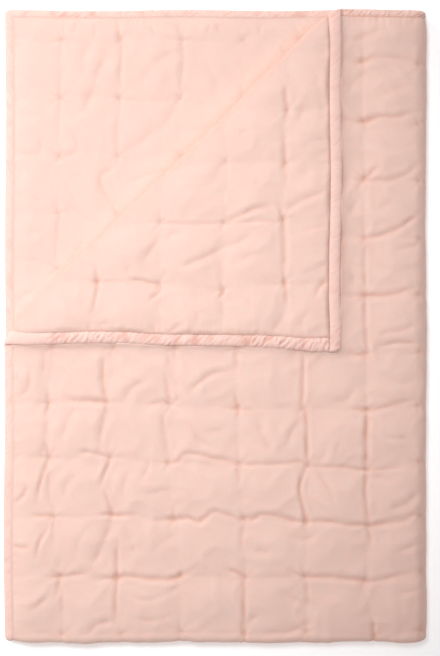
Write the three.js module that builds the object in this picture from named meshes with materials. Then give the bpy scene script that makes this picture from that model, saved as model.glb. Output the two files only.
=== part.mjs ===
// A tied, wadded bedspread, folded in quarters, with one corner of its top leaf turned back.
//
// The spread is cut as one flat rectangle of wadded cloth, about 1.5 m by 2.2 m. A grid of ties
// pulls its two faces together, and four strips of padded binding, mitred at the corners, close
// its edges. Every piece is first made flat, in pattern coordinates: u runs across the cloth,
// v along it, both from the corner that is later turned back, and w through its thickness.
// One fold map then lays the pattern up: the far end goes under, the far side goes under that,
// and the free corner of the top leaf comes over.
//
// Millimetres, X to the right, Y away from the viewer, Z up. The origin is on the surface that
// the pile lies on, under the middle of its outline.

import * as THREE from 'three';

// The folded pile
const foldedWidth = 726;
const foldedLength = 1084;
const leafPitch = 12; // height of one leaf of wadded cloth in the pile
const edgeRollLeft = 9; // cloth lost to the eye where the left edges roll down
const edgeRollTop = 14;
const edgeRollZone = 70;
const edgeSqueeze = 0.28; // share of its height that the pile loses at its open edges
const lowerLeafInset = 3; // the lower leaves lie a little inside the top one
const rippleSize = 1.3; // unevenness of the outline
const rippleLength = 430;

// The wadded cloth
const puffThickness = 10.5;
const valleyThickness = 7.5; // halfway between two ties
const tieThickness = 4.5;
const rimThickness = 6; // where the binding grips the cloth
const tieColumns = { first: 84, pitch: 105.8, count: 13 };
const tieRowsNear = { first: 93, pitch: 98.7, count: 11 };
const tieRowsFar = { first: 56, pitch: 98.7, count: 11 };

// The binding
const bindingWidth = 21.5;
const bindingThickness = 9.5;
const seamGap = 0.3;

// The turned corner: where its crease meets the pile's top and left edges
const creaseAlongTop = 571;
const creaseAlongLeft = 561;
const creaseBow = 15; // how far the crease swells outward near its lower end
const creaseTuck = 0.9; // share of the crease after which it tucks back in to the left edge

// Steps between two ties where the cloth shows, and around each bend
const shownSteps = 3;
const endBendSteps = 6;
const sideBendSteps = 8;
const cornerBendSteps = 6;

// Sizes that follow from those above
const halfPitch = leafPitch / 2;
const leftEdge = -foldedWidth / 2 - edgeRollLeft;
const topEdge = foldedLength / 2 + edgeRollTop;
const endBendStart = topEdge + foldedLength / 2 - halfPitch - puffThickness / 2;
const endBendLength = Math.PI * halfPitch;
const sideRadius = 1.5 * leafPitch; // the outer leaf keeps its length around the side fold
const sideBendStart = foldedWidth / 2 - leftEdge - sideRadius - puffThickness / 2;
const sideBendLength = Math.PI * sideRadius;
const flatWidth = 2 * sideBendStart + sideBendLength;
const flatLength = 2 * endBendStart + endBendLength;
const pileHeight = 4 * leafPitch;

const clamp01 = (t) => Math.min(1, Math.max(0, t));
const ease = (t) => clamp01(t) ** 2 * (3 - 2 * clamp01(t));
const mix = (a, b, t) => a + (b - a) * t;

// The crease of the turned corner, as a point, a direction and a normal that points away from
// the corner.
const creaseStart = new THREE.Vector2(creaseAlongTop - foldedWidth / 2, foldedLength / 2);
const creaseEnd = new THREE.Vector2(-foldedWidth / 2, foldedLength / 2 - creaseAlongLeft);
const creaseLength = creaseStart.distanceTo(creaseEnd);
const creaseAxis = creaseEnd.clone().sub(creaseStart).normalize();
const creaseNormal = new THREE.Vector2(-creaseAxis.y, creaseAxis.x);
const cornerBendHalf = (Math.PI * halfPitch) / 2;

// Distance of a pattern point from the crease, below zero on the turned corner.
function creaseDistance(u, v) {
  const point = new THREE.Vector2(leftEdge + u, topEdge - v).sub(creaseStart);
  return point.dot(creaseNormal);
}

// First fold: the far end goes under. Gives the distance along the leaf from its free end, and
// the height above the middle of the doubled cloth.
function foldEnd(v, w) {
  const angle = (v - endBendStart) / halfPitch;
  if (angle <= 0) return { along: v, lift: halfPitch + w };
  if (angle >= Math.PI) return { along: flatLength - v, lift: -halfPitch - w };
  return {
    along: endBendStart + (halfPitch + w) * Math.sin(angle),
    lift: (halfPitch + w) * Math.cos(angle),
  };
}

// Second fold: the far side of the doubled cloth goes under.
function foldSide(u, lift) {
  const angle = (u - sideBendStart) / sideRadius;
  const radius = leafPitch + lift;
  if (angle <= 0) return { across: u, height: pileHeight / 2 + radius };
  if (angle >= Math.PI) return { across: flatWidth - u, height: pileHeight / 2 - radius };
  return {
    across: sideBendStart + radius * Math.sin(angle),
    height: pileHeight / 2 + radius * Math.cos(angle),
  };
}

// Third fold: the free corner of the top leaf comes over, and its crease swells a little.
function turnCorner(point, w, distance) {
  let reach = distance;
  if (distance <= -cornerBendHalf) {
    reach = -distance;
    point.z += leafPitch - 2 * w;
  } else if (distance < cornerBendHalf) {
    const angle = (cornerBendHalf - distance) / halfPitch;
    reach = cornerBendHalf - (halfPitch - w) * Math.sin(angle);
    point.z += (halfPitch - w) * (1 - Math.cos(angle));
  }
  const shift = reach - distance;
  point.x += shift * creaseNormal.x;
  point.y += shift * creaseNormal.y;

  const place = new THREE.Vector2(point.x, point.y).sub(creaseStart).dot(creaseAxis) / creaseLength;
  const inside = clamp01(place);
  const depth = Math.max(1, creaseLength * Math.min(inside, 1 - inside));
  const swell = creaseBow * inside ** 1.5 * (1 - ease((inside - creaseTuck) / (1 - creaseTuck)));
  const fade = clamp01(1 - Math.max(0, reach) / depth) ** 2;
  point.x -= swell * fade * creaseNormal.x;
  point.y -= swell * fade * creaseNormal.y;
}

// Length left of a distance from an open edge, once that edge has rolled down.
function rollEdge(distance, roll) {
  const near = Math.max(0, 1 - distance / edgeRollZone);
  return distance - roll * (1 - near ** 2);
}

// What lying in a pile does to every leaf alike: open edges roll down and close up, and the
// outline wanders a little from leaf to leaf.
function settle(point) {
  const fromLeft = point.x - leftEdge;
  const fromTop = topEdge - point.y;
  const nearLeft = clamp01(1 - fromLeft / edgeRollZone) ** 2;
  const nearTop = clamp01(1 - fromTop / edgeRollZone) ** 2;
  const level = point.z / pileHeight;
  const inset = lowerLeafInset * (1 - clamp01(level));
  const wave = (2 * Math.PI) / rippleLength;
  const turn = 4 * level;
  point.x = leftEdge + edgeRollLeft + rollEdge(fromLeft, edgeRollLeft) + inset * nearLeft;
  point.y = topEdge - edgeRollTop - rollEdge(fromTop, edgeRollTop) - inset * nearTop;
  point.z *= 1 - edgeSqueeze * Math.max(nearLeft, nearTop);
  point.x += rippleSize * level * Math.sin(wave * point.y + turn);
  point.y += rippleSize * level * Math.sin(1.4 * wave * point.x + turn);
}

// The whole way from the pattern to the pile.
function layUp(u, v, w) {
  const end = foldEnd(v, w);
  const side = foldSide(u, end.lift);
  const point = new THREE.Vector3(leftEdge + side.across, topEdge - end.along, side.height);
  if (u < sideBendStart && v < endBendStart) turnCorner(point, w, creaseDistance(u, v));
  settle(point);
  return point;
}

// Where ties stand along one direction of the pattern.
function tiePlaces({ first, pitch, count }) {
  return Array.from({ length: count }, (_, k) => first + k * pitch);
}

function sortedLines(places) {
  const sorted = [...places].sort((a, b) => a - b);
  return sorted.filter((place, k) => k === 0 || place - sorted[k - 1] > 2);
}

function bendLines(start, length, steps) {
  return Array.from({ length: steps + 1 }, (_, k) => start + (length * k) / steps);
}

// Grid lines of the pattern. Where the cloth shows, a line runs through every tie and others
// stand between two. Inside the pile one line halfway between two ties is enough.
function columnLines() {
  const { pitch } = tieColumns;
  const bendEnd = sideBendStart + sideBendLength;
  const places = bendLines(sideBendStart, sideBendLength, sideBendSteps);
  places.push(bindingWidth, (bindingWidth + tieColumns.first) / 2, flatWidth - bindingWidth);
  for (const tie of tiePlaces(tieColumns)) {
    const halfway = tie + pitch / 2;
    if (tie < sideBendStart) places.push(...bendLines(tie, pitch, shownSteps));
    else if (halfway > bendEnd) places.push(halfway);
  }
  const inBend = (place) => place > sideBendStart && place < bendEnd + pitch / 4;
  return sortedLines(places.filter((place, k) => k <= sideBendSteps || !inBend(place)));
}

function rowLines() {
  const { pitch } = tieRowsFar;
  const bendEnd = endBendStart + endBendLength;
  const shownFar = creaseAlongLeft - pitch / 2;
  const places = bendLines(endBendStart, endBendLength, endBendSteps);
  places.push(bindingWidth, (bindingWidth + tieRowsNear.first) / 2, flatLength - bindingWidth);
  for (const tie of tiePlaces(tieRowsNear)) {
    const between = bendLines(tie, tieRowsNear.pitch, shownSteps);
    places.push(...between.filter((place) => place < endBendStart));
  }
  for (const tie of tiePlaces(tieRowsFar)) {
    if (tie < shownFar) places.push(...bendLines(flatLength - tie - pitch, pitch, shownSteps));
    else places.push(flatLength - tie - pitch / 2);
  }
  const inBend = (place) => place > endBendStart && place < bendEnd + pitch / 4;
  return sortedLines(places.filter((place, k) => k <= endBendSteps || !inBend(place)));
}

// 0 on a line of ties and 1 halfway to the next.
function awayFromTies(place, { first, pitch }) {
  return Math.abs(Math.sin((Math.PI * (place - first)) / pitch));
}

// Thickness of the wadded cloth: pillows between the ties, thin at the rim.
function clothThickness(u, v) {
  const across = awayFromTies(u, tieColumns);
  const nearHalf = v < endBendStart + endBendLength / 2;
  const along = nearHalf
    ? awayFromTies(v, tieRowsNear)
    : awayFromTies(flatLength - v, tieRowsFar);
  const valley = (valleyThickness - tieThickness) * (across + along - across * along);
  const pillow = (puffThickness - valleyThickness) * across * along;
  const rim = Math.min(u, v, flatWidth - u, flatLength - v) - bindingWidth;
  return mix(rimThickness, tieThickness + valley + pillow, ease(rim / 30));
}

// Half thickness on the outer face. The lowest leaf presses flat on the surface below it.
function outerHalf(u, v) {
  const half = clothThickness(u, v) / 2;
  const under = ease((u - sideBendStart - sideBendLength / 2) / (sideBendLength / 2));
  const aroundEnd = clamp01((v - endBendStart) / endBendLength);
  return mix(half, halfPitch, under * (1 - aroundEnd));
}

// The wadded cloth in the flat: one face, the other, and the wall between them.
function flatCloth() {
  const columns = columnLines();
  const rows = rowLines();
  const points = [];
  const faces = [];
  for (const side of [1, -1]) {
    for (const v of rows) {
      for (const u of columns) {
        const half = side > 0 ? outerHalf(u, v) : clothThickness(u, v) / 2;
        points.push([u, v, side * half]);
      }
    }
  }
  const perFace = columns.length * rows.length;
  const at = (i, j, side) => (side > 0 ? 0 : perFace) + j * columns.length + i;
  const quad = (a, b, c, d) => faces.push([a, b, c], [a, c, d]);
  const fromTie = (i, j) => (i + j) % 2 === 0;
  for (let j = 0; j < rows.length - 1; j++) {
    for (let i = 0; i < columns.length - 1; i++) {
      const corners = [[i, j], [i, j + 1], [i + 1, j + 1], [i + 1, j]];
      if (!fromTie(i, j)) corners.push(corners.shift());
      quad(...corners.map(([a, b]) => at(a, b, 1)));
      quad(...corners.reverse().map(([a, b]) => at(a, b, -1)));
    }
  }
  const lastColumn = columns.length - 1;
  const lastRow = rows.length - 1;
  for (let i = 0; i < lastColumn; i++) {
    quad(at(i + 1, 0, 1), at(i + 1, 0, -1), at(i, 0, -1), at(i, 0, 1));
    quad(at(i + 1, lastRow, 1), at(i, lastRow, 1), at(i, lastRow, -1), at(i + 1, lastRow, -1));
  }
  for (let j = 0; j < lastRow; j++) {
    quad(at(0, j + 1, 1), at(0, j, 1), at(0, j, -1), at(0, j + 1, -1));
    quad(
      at(lastColumn, j + 1, 1), at(lastColumn, j + 1, -1),
      at(lastColumn, j, -1), at(lastColumn, j, 1),
    );
  }
  return { points, faces };
}

// Section of the binding as steps in from the free edge and heights, all the way round.
function bindingSection() {
  const inner = bindingWidth - seamGap;
  const half = [
    { inward: inner, height: rimThickness / 2 },
    { inward: 0.55 * bindingWidth, height: bindingThickness / 2 },
    { inward: 0.18 * bindingWidth, height: 0.4 * bindingThickness },
    { inward: 0, height: 0.15 * bindingThickness },
  ];
  const mirrored = half.map(({ inward, height }) => ({ inward, height: -height })).reverse();
  return [...half, ...mirrored];
}

// One strip of binding in the flat, along an edge of the pattern. Its ends are mitred.
// place(distance along the edge, steps in from the edge) gives the pattern point.
function flatBinding(edgeLength, lines, place) {
  const section = bindingSection();
  const mitreGap = seamGap * Math.SQRT1_2;
  const stations = [0, ...lines.filter((s) => s > bindingWidth + 5 && s < edgeLength - bindingWidth - 5)];
  stations.push(edgeLength);
  const points = [];
  const faces = [];
  stations.forEach((station, k) => {
    for (const { inward, height } of section) {
      let along = station;
      if (k === 0) along = inward + mitreGap;
      if (k === stations.length - 1) along = edgeLength - inward - mitreGap;
      const [u, v] = place(along, inward);
      points.push([u, v, height]);
    }
  });
  const count = section.length;
  for (let k = 0; k < stations.length - 1; k++) {
    for (let c = 0; c < count; c++) {
      const here = k * count + c;
      const next = k * count + ((c + 1) % count);
      faces.push([here, next, next + count], [here, next + count, here + count]);
    }
  }
  const last = (stations.length - 1) * count;
  for (let c = 1; c < count - 1; c++) {
    faces.push([0, c + 1, c], [last, last + c, last + c + 1]);
  }
  return { points, faces };
}

// Triangles of a small polygon, all from its corner nearest the outer face. Two walls that face
// each other across a seam are split alike, so they don't touch where they twist in a bend.
function fanFromTop(ring, points) {
  const rank = (k) => points[k][2] + points[k][1] / (10 * flatLength);
  const top = ring.reduce((best, k) => (rank(k) > rank(best) ? k : best));
  const start = ring.indexOf(top);
  const turned = ring.map((_, k) => ring[(start + k) % ring.length]);
  return turned.slice(2).map((k, place) => [turned[0], turned[place + 1], k]);
}

// Cuts every triangle that crosses one line parallel to the crease, so that the cloth can bend
// there. Both triangles on a cut edge share the new point, so a closed piece stays closed.
function cutAlong({ points, faces }, offset) {
  const snap = 0.35;
  const signs = points.map(([u, v]) => {
    const distance = creaseDistance(u, v) - offset;
    return Math.abs(distance) < snap ? 0 : distance;
  });
  const newPoints = [...points];
  const cuts = new Map();
  const cutPoint = (a, b) => {
    const key = a < b ? `${a} ${b}` : `${b} ${a}`;
    if (!cuts.has(key)) {
      const [low, high] = a < b ? [a, b] : [b, a];
      const t = signs[low] / (signs[low] - signs[high]);
      cuts.set(key, newPoints.length);
      newPoints.push(points[low].map((value, k) => mix(value, points[high][k], t)));
    }
    return cuts.get(key);
  };
  const newFaces = [];
  for (const face of faces) {
    const ring = [];
    face.forEach((a, k) => {
      const b = face[(k + 1) % 3];
      ring.push(a);
      if (signs[a] * signs[b] < 0) ring.push(cutPoint(a, b));
    });
    if (ring.length === 3) {
      newFaces.push(face);
      continue;
    }
    // Start the ring at a point on the line, so that the line becomes an edge.
    const onLine = (k) => k >= points.length || signs[k] === 0;
    const start = ring.findIndex(onLine);
    const turned = ring.map((_, k) => ring[(start + k) % ring.length]);
    const far = turned.findIndex((k, place) => place > 0 && onLine(k));
    const parts = [turned.slice(0, far + 1), [...turned.slice(far), turned[0]]];
    for (const part of parts) newFaces.push(...fanFromTop(part, newPoints));
  }
  return { points: newPoints, faces: newFaces };
}

// Outward faces in the pattern stay outward in the pile, or are turned here.
function facesOutward(positions, faces) {
  const a = new THREE.Vector3();
  const b = new THREE.Vector3();
  const c = new THREE.Vector3();
  let volume = 0;
  for (const face of faces) {
    [a, b, c].forEach((corner, k) => corner.copy(positions[face[k]]));
    volume += a.dot(b.cross(c)) / 6;
  }
  return volume > 0 ? faces : faces.map(([p, q, r]) => [p, r, q]);
}

function layUpPiece(pattern) {
  let cut = pattern;
  for (const offset of bendLines(-cornerBendHalf, 2 * cornerBendHalf, cornerBendSteps)) {
    cut = cutAlong(cut, offset);
  }
  const positions = cut.points.map(([u, v, w]) => layUp(u, v, w));
  return { positions, faces: facesOutward(positions, cut.faces) };
}

const columns = columnLines();
const rows = rowLines();
const quiltedCotton = new THREE.MeshStandardMaterial({
  name: 'quilted cotton', color: 0xf8dccf, roughness: 0.85, metalness: 0,
});
const bindingCotton = new THREE.MeshStandardMaterial({
  name: 'binding cotton', color: 0xf4c6bd, roughness: 0.8, metalness: 0,
});

const pieces = [
  { name: 'quilted_cloth', pattern: flatCloth(), material: quiltedCotton },
  {
    name: 'binding_near_side',
    pattern: flatBinding(flatLength, rows, (along, inward) => [inward, along]),
    material: bindingCotton,
  },
  {
    name: 'binding_far_side',
    pattern: flatBinding(flatLength, rows, (along, inward) => [flatWidth - inward, along]),
    material: bindingCotton,
  },
  {
    name: 'binding_near_end',
    pattern: flatBinding(flatWidth, columns, (along, inward) => [along, inward]),
    material: bindingCotton,
  },
  {
    name: 'binding_far_end',
    pattern: flatBinding(flatWidth, columns, (along, inward) => [along, flatLength - inward]),
    material: bindingCotton,
  },
];

const laidUp = pieces.map((piece) => ({ ...piece, ...layUpPiece(piece.pattern) }));
const outline = new THREE.Box3();
for (const { positions } of laidUp) {
  for (const position of positions) outline.expandByPoint(position);
}
const middle = outline.getCenter(new THREE.Vector3()).setZ(outline.min.z);

const bedspread = new THREE.Group();
bedspread.name = 'bedspread';
for (const { name, positions, faces, material } of laidUp) {
  const geometry = new THREE.BufferGeometry();
  const flatList = positions.flatMap((position) => position.sub(middle).toArray());
  geometry.setAttribute('position', new THREE.Float32BufferAttribute(flatList, 3));
  geometry.setIndex(faces.flat());
  geometry.computeVertexNormals();
  const mesh = new THREE.Mesh(geometry, material);
  mesh.name = name;
  bedspread.add(mesh);
}

export default bedspread;
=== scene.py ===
# %% [markdown]
# A folded, tied bedspread
#
# The real thing is one rectangle of wadded cotton, about 1.5 m by 2.2 m. Ties pull its front and
# back together in a grid, and a padded binding closes its edges. It lies folded in quarters, with
# one corner turned back. We model it the way it is made: every piece is drawn flat, as a pattern,
# and one function then folds the pattern into the pile.

# %% Load the frame
import math

import bpy
import numpy as np
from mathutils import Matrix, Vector


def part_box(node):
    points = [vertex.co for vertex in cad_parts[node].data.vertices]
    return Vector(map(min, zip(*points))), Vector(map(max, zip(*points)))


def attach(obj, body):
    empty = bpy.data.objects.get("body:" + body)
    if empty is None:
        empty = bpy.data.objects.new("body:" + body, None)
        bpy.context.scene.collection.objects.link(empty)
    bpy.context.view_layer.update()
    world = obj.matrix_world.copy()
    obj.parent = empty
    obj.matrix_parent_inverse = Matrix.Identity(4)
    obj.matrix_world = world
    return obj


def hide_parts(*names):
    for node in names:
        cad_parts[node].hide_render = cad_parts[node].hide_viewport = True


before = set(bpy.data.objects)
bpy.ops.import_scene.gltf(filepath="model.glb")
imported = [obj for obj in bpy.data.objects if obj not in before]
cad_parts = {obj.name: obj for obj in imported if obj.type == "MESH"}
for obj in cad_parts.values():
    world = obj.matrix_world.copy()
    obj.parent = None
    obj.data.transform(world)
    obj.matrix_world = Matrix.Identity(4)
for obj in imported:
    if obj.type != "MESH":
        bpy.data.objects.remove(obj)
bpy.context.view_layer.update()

# %% [markdown]
# Sizes
#
# We work in millimetres and turn them to metres when a mesh is made. The pile's sizes are the
# real ones, and the rest follows from them. Marks on the photograph, such as ties and creases,
# are given in its pixels, of which 440 by 656 fill the picture. One number turns pixels to
# millimetres. We could write every mark as a length, but a pixel can be checked against the
# picture at once.

# %% Sizes of the pile, the cloth and the binding
FOLDED_WIDTH = 726.0
FOLDED_LENGTH = 1084.0
LEAF_PITCH = 12.0
EDGE_ROLL_LEFT = 9.0  # cloth lost to the eye where the open edges roll down
EDGE_ROLL_TOP = 14.0
EDGE_ROLL_ZONE = 70.0
EDGE_SQUEEZE = 0.28  # share of its height that the pile loses at its open edges
LOWER_LEAF_INSET = 3.0  # the lower leaves lie a little inside the top one
RIPPLE_SIZE = 1.3  # unevenness of the outline
RIPPLE_LENGTH = 430.0
RIPPLE_TURN = 4  # how far the ripple of one leaf is out of step with the next
PUFF_THICKNESS = 10.5
RIM_THICKNESS = 8.0
BINDING_WIDTH = 21.5
BINDING_THICKNESS = 11.4
CREASE_ALONG_TOP = 562.0  # where the turned corner's crease meets the pile's top edge
CREASE_ALONG_LEFT = 564.0
CREASE_BOW = 15.0  # how far that crease swells outward near its lower end
CREASE_TUCK = 0.9  # share of the crease after which it tucks back in to the left edge
MM_PER_PIXEL = 1.72
PHOTO_MIDDLE = (217.0, 327.0)  # the pile's middle
PICTURE_MIDDLE = (220.0, 328.0)  # the middle of the whole picture
CAMERA_PLACE = (221.3, 329.6)  # what the camera stands over
CAMERA_LENS = 85.0
CAMERA_SENSOR = 36.0
PICTURE_LONG = 656
MARK_SHIFT = (2.3, 3.0)  # from the dark line where a mark stands to the trough itself
STEP = 2.78  # grid of the cloth where it shows

CAMERA_HEIGHT = PICTURE_LONG * MM_PER_PIXEL * CAMERA_LENS / CAMERA_SENSOR
HALF_PITCH = LEAF_PITCH / 2
PILE_HEIGHT = 4 * LEAF_PITCH
LEFT_EDGE = -FOLDED_WIDTH / 2 - EDGE_ROLL_LEFT
TOP_EDGE = FOLDED_LENGTH / 2 + EDGE_ROLL_TOP
END_BEND_START = TOP_EDGE + FOLDED_LENGTH / 2 - HALF_PITCH - PUFF_THICKNESS / 2
END_BEND_LENGTH = math.pi * HALF_PITCH
END_BEND_END = END_BEND_START + END_BEND_LENGTH
SIDE_RADIUS = 1.5 * LEAF_PITCH
SIDE_BEND_START = FOLDED_WIDTH / 2 - LEFT_EDGE - SIDE_RADIUS - PUFF_THICKNESS / 2
SIDE_BEND_LENGTH = math.pi * SIDE_RADIUS
SIDE_BEND_END = SIDE_BEND_START + SIDE_BEND_LENGTH
END_MIDDLE = END_BEND_START + END_BEND_LENGTH / 2
SIDE_MIDDLE = SIDE_BEND_START + SIDE_BEND_LENGTH / 2
FLAT_WIDTH = 2 * SIDE_BEND_START + SIDE_BEND_LENGTH
FLAT_LENGTH = 2 * END_BEND_START + END_BEND_LENGTH
print(f"Flat cloth: {FLAT_WIDTH:.0f} x {FLAT_LENGTH:.0f} mm")

# %% [markdown]
# The fold map
#
# A point of the flat cloth has a place across (u), a place along (v) and a height over the
# cloth's middle (w). Three bends take it to the pile: the far end goes under, the far side goes
# under, and the free corner comes over. Last, the pile settles: its open edges roll down and its
# outline gets a slow ripple. We could fold with an armature or a simulation, but a formula is
# exact, and any piece can share it: cloth, binding and thread all fold together.

# %% The three bends


def ease(t):
    """A soft step from 0 to 1."""
    t = np.clip(t, 0, 1)
    return t * t * (3 - 2 * t)


def bell(distance, width):
    """1 at a line, and down to a third of it at width from the line."""
    return np.exp(-((distance / width) ** 2))


crease_start = np.array([CREASE_ALONG_TOP - FOLDED_WIDTH / 2, FOLDED_LENGTH / 2])
crease_end = np.array([-FOLDED_WIDTH / 2, FOLDED_LENGTH / 2 - CREASE_ALONG_LEFT])
CREASE_LENGTH = float(np.linalg.norm(crease_end - crease_start))
crease_axis = (crease_end - crease_start) / CREASE_LENGTH
crease_normal = np.array([-crease_axis[1], crease_axis[0]])
CORNER_BEND_HALF = math.pi * HALF_PITCH / 2


def crease_distance(u, v):
    """Distance from the crease of the turned corner, below zero on the corner itself."""
    x = LEFT_EDGE + u - crease_start[0]
    y = TOP_EDGE - v - crease_start[1]
    return x * crease_normal[0] + y * crease_normal[1]


def fold_end(v, w):
    """Place along the pile, and height over the middle of the two stacked leaves."""
    angle = np.clip((v - END_BEND_START) / HALF_PITCH, 0, math.pi)
    radius = HALF_PITCH + w
    along = np.where(v < END_BEND_START, v, END_BEND_START)
    along = np.where(v > END_BEND_END, FLAT_LENGTH - v, along + radius * np.sin(angle))
    return along, radius * np.cos(angle)


def fold_side(u, lift):
    """Place across the pile, and height over the floor."""
    angle = np.clip((u - SIDE_BEND_START) / SIDE_RADIUS, 0, math.pi)
    radius = LEAF_PITCH + lift
    across = np.where(u < SIDE_BEND_START, u, SIDE_BEND_START)
    across = np.where(u > SIDE_BEND_END, FLAT_WIDTH - u, across + radius * np.sin(angle))
    return across, PILE_HEIGHT / 2 + radius * np.cos(angle)


def turn_corner(x, y, z, w, distance, turned):
    """Brings the free corner over its crease, which bows outward near its lower end."""
    angle = np.clip((CORNER_BEND_HALF - distance) / HALF_PITCH, 0, math.pi)
    radius = HALF_PITCH - w
    in_bend = CORNER_BEND_HALF - radius * np.sin(angle)
    reach = np.where(distance >= CORNER_BEND_HALF, distance, in_bend)
    reach = np.where(distance <= -CORNER_BEND_HALF, -distance, reach)
    z = np.where(turned, z + radius * (1 - np.cos(angle)), z)
    shift = np.where(turned, reach - distance, 0)
    x = x + shift * crease_normal[0]
    y = y + shift * crease_normal[1]
    place = (x - crease_start[0]) * crease_axis[0] + (y - crease_start[1]) * crease_axis[1]
    inside = np.clip(place / CREASE_LENGTH, 0, 1)
    depth = np.maximum(1, CREASE_LENGTH * np.minimum(inside, 1 - inside))
    swell = CREASE_BOW * inside**1.5 * (1 - ease((inside - CREASE_TUCK) / (1 - CREASE_TUCK)))
    fade = np.clip(1 - np.maximum(0, reach) / depth, 0, 1) ** 2
    swell = np.where(turned, swell * fade, 0)
    return x - swell * crease_normal[0], y - swell * crease_normal[1], z


# %% The turned corner hangs out of square, and the pile settles
# How far each edge of the corner was pulled, in millimetres, against the distance from its tip
CORNER_PULL_DOWN = (
    (0, 12), (29, 13), (55, 14.3), (90, 11.1), (124, 7.8), (158, 5.4), (193, 4), (261, 3.4),
    (296, 4.5), (330, 3.6), (365, 1.7), (433, -0.2), (502, -0.2), (537, 2.3), (571, 1.3),
)
CORNER_PULL_RIGHT = (
    (0, -1.7), (39, -0.6), (82, -2.7), (168, -3.8), (297, -1), (426, 0), (512, 1.5), (585, 0),
)
PULL_FADE = 60  # the pull grows over this length from the crease
PULL_REACH = 600  # and dies away over this length from the pulled edge


def pull_corner(x, y, u, v, distance, turned):
    """Pulls the edges of the turned corner as its two tables say."""
    reach = np.where(turned, ease(-distance / PULL_FADE), 0)
    down = np.interp(v, *zip(*CORNER_PULL_DOWN)) * np.clip(1 - u / PULL_REACH, 0, 1) ** 2
    right = np.interp(u, *zip(*CORNER_PULL_RIGHT)) * np.clip(1 - v / PULL_REACH, 0, 1) ** 2
    return x + right * reach, y - down * reach


def roll_edge(distance, roll):
    """Shortens the distance from an open edge by its roll, and leaves what lies far in alone."""
    near = np.maximum(0, 1 - distance / EDGE_ROLL_ZONE)
    return distance - roll * (1 - near**2)


def settle(x, y, z):
    """Rolls and squeezes the open edges, insets the lower leaves and ripples the outline."""
    from_left = x - LEFT_EDGE
    from_top = TOP_EDGE - y
    near_left = np.clip(1 - from_left / EDGE_ROLL_ZONE, 0, 1) ** 2
    near_top = np.clip(1 - from_top / EDGE_ROLL_ZONE, 0, 1) ** 2
    level = z / PILE_HEIGHT
    inset = LOWER_LEAF_INSET * (1 - np.clip(level, 0, 1))
    wave = 2 * math.pi / RIPPLE_LENGTH
    turn = RIPPLE_TURN * level
    x = LEFT_EDGE + EDGE_ROLL_LEFT + roll_edge(from_left, EDGE_ROLL_LEFT) + inset * near_left
    y = TOP_EDGE - EDGE_ROLL_TOP - roll_edge(from_top, EDGE_ROLL_TOP) - inset * near_top
    z = z * (1 - EDGE_SQUEEZE * np.maximum(near_left, near_top))
    x = x + RIPPLE_SIZE * level * np.sin(wave * y + turn)
    y = y + RIPPLE_SIZE * level * np.sin(1.4 * wave * x + turn)
    return x, y, z


def lay_up(u, v, w):
    """Takes pattern points to the pile, all in millimetres."""
    u, v, w = (np.asarray(value, float) for value in (u, v, w))
    along, lift = fold_end(v, w)
    across, z = fold_side(u, lift)
    x = LEFT_EDGE + across
    y = TOP_EDGE - along
    turned = (u < SIDE_BEND_START) & (v < END_BEND_START)
    distance = crease_distance(u, v)
    x, y, z = turn_corner(x, y, z, w, distance, turned)
    x, y = pull_corner(x, y, u, v, distance, turned)
    return settle(x, y, z)


# %% From the pile to the photograph


def to_pixels(x, y, z):
    """Where the camera sees a point of the pile, in pixels of the photograph."""
    nearer = CAMERA_HEIGHT / (CAMERA_HEIGHT + PILE_HEIGHT / 2 - z)
    px = PICTURE_MIDDLE[0] + (x / MM_PER_PIXEL + PHOTO_MIDDLE[0] - CAMERA_PLACE[0]) * nearer
    py = PICTURE_MIDDLE[1] + (PHOTO_MIDDLE[1] - y / MM_PER_PIXEL - CAMERA_PLACE[1]) * nearer
    return px, py


def to_marks(x, y, z):
    """Like to_pixels, for marks on the photograph. The light comes from the upper left, so a
    trough is darkest on its upper left wall. A mark stands there, and the trough's bottom lies
    MARK_SHIFT further down and to the right."""
    px, py = to_pixels(x, y, z)
    return px - MARK_SHIFT[0], py - MARK_SHIFT[1]


# %% Find how far the CAD's origin lies from the pile's own middle
probe_u, probe_v = np.meshgrid(
    np.linspace(BINDING_WIDTH, FLAT_WIDTH - BINDING_WIDTH, 600),
    np.linspace(BINDING_WIDTH, FLAT_LENGTH - BINDING_WIDTH, 600),
)
probe = np.stack(lay_up(probe_u, probe_v, PUFF_THICKNESS / 2 * np.ones_like(probe_u)))
low, high = (np.array(corner) * 1000 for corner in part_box("quilted_cloth"))
probe_middle = (probe.reshape(3, -1).max(1) + probe.reshape(3, -1).min(1)) / 2
origin_shift = ((low + high) / 2 - probe_middle) * np.array([1, 1, 0])
print("Shift to the CAD's origin, mm:", origin_shift.round(2))

# %% [markdown]
# Noise and creases
#
# Cloth is never even. Smooth noise gives it slow swells and fine wrinkles, and a crease is a
# trough along a given line, with a low ridge on either side. Both could be sculpted, or made
# by displacement textures. Here they are plain functions of the place on the cloth, so they can
# be added up as heights, moved by a number, and read by the threads that lie on them.

# %% Smooth noise in two directions


def noise(x, y, size, seed):
    """Gradient noise from about -1 to 1, with bumps as wide as size."""
    random = np.random.default_rng(seed)
    turn = random.uniform(0, 2 * math.pi, (64, 64))
    x = np.asarray(x) / size
    y = np.asarray(y) / size
    i = np.floor(x).astype(int)
    j = np.floor(y).astype(int)
    fx, fy = x - i, y - j

    def corner(di, dj):
        angle = turn[(j + dj) % 64, (i + di) % 64]
        return np.cos(angle) * (fx - di) + np.sin(angle) * (fy - dj)

    sx = fx**3 * (fx * (6 * fx - 15) + 10)
    sy = fy**3 * (fy * (6 * fy - 15) + 10)
    top = corner(0, 0) * (1 - sx) + corner(1, 0) * sx
    bottom = corner(0, 1) * (1 - sx) + corner(1, 1) * sx
    return 1.6 * (top * (1 - sy) + bottom * sy)


# %% A crease along a line


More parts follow.
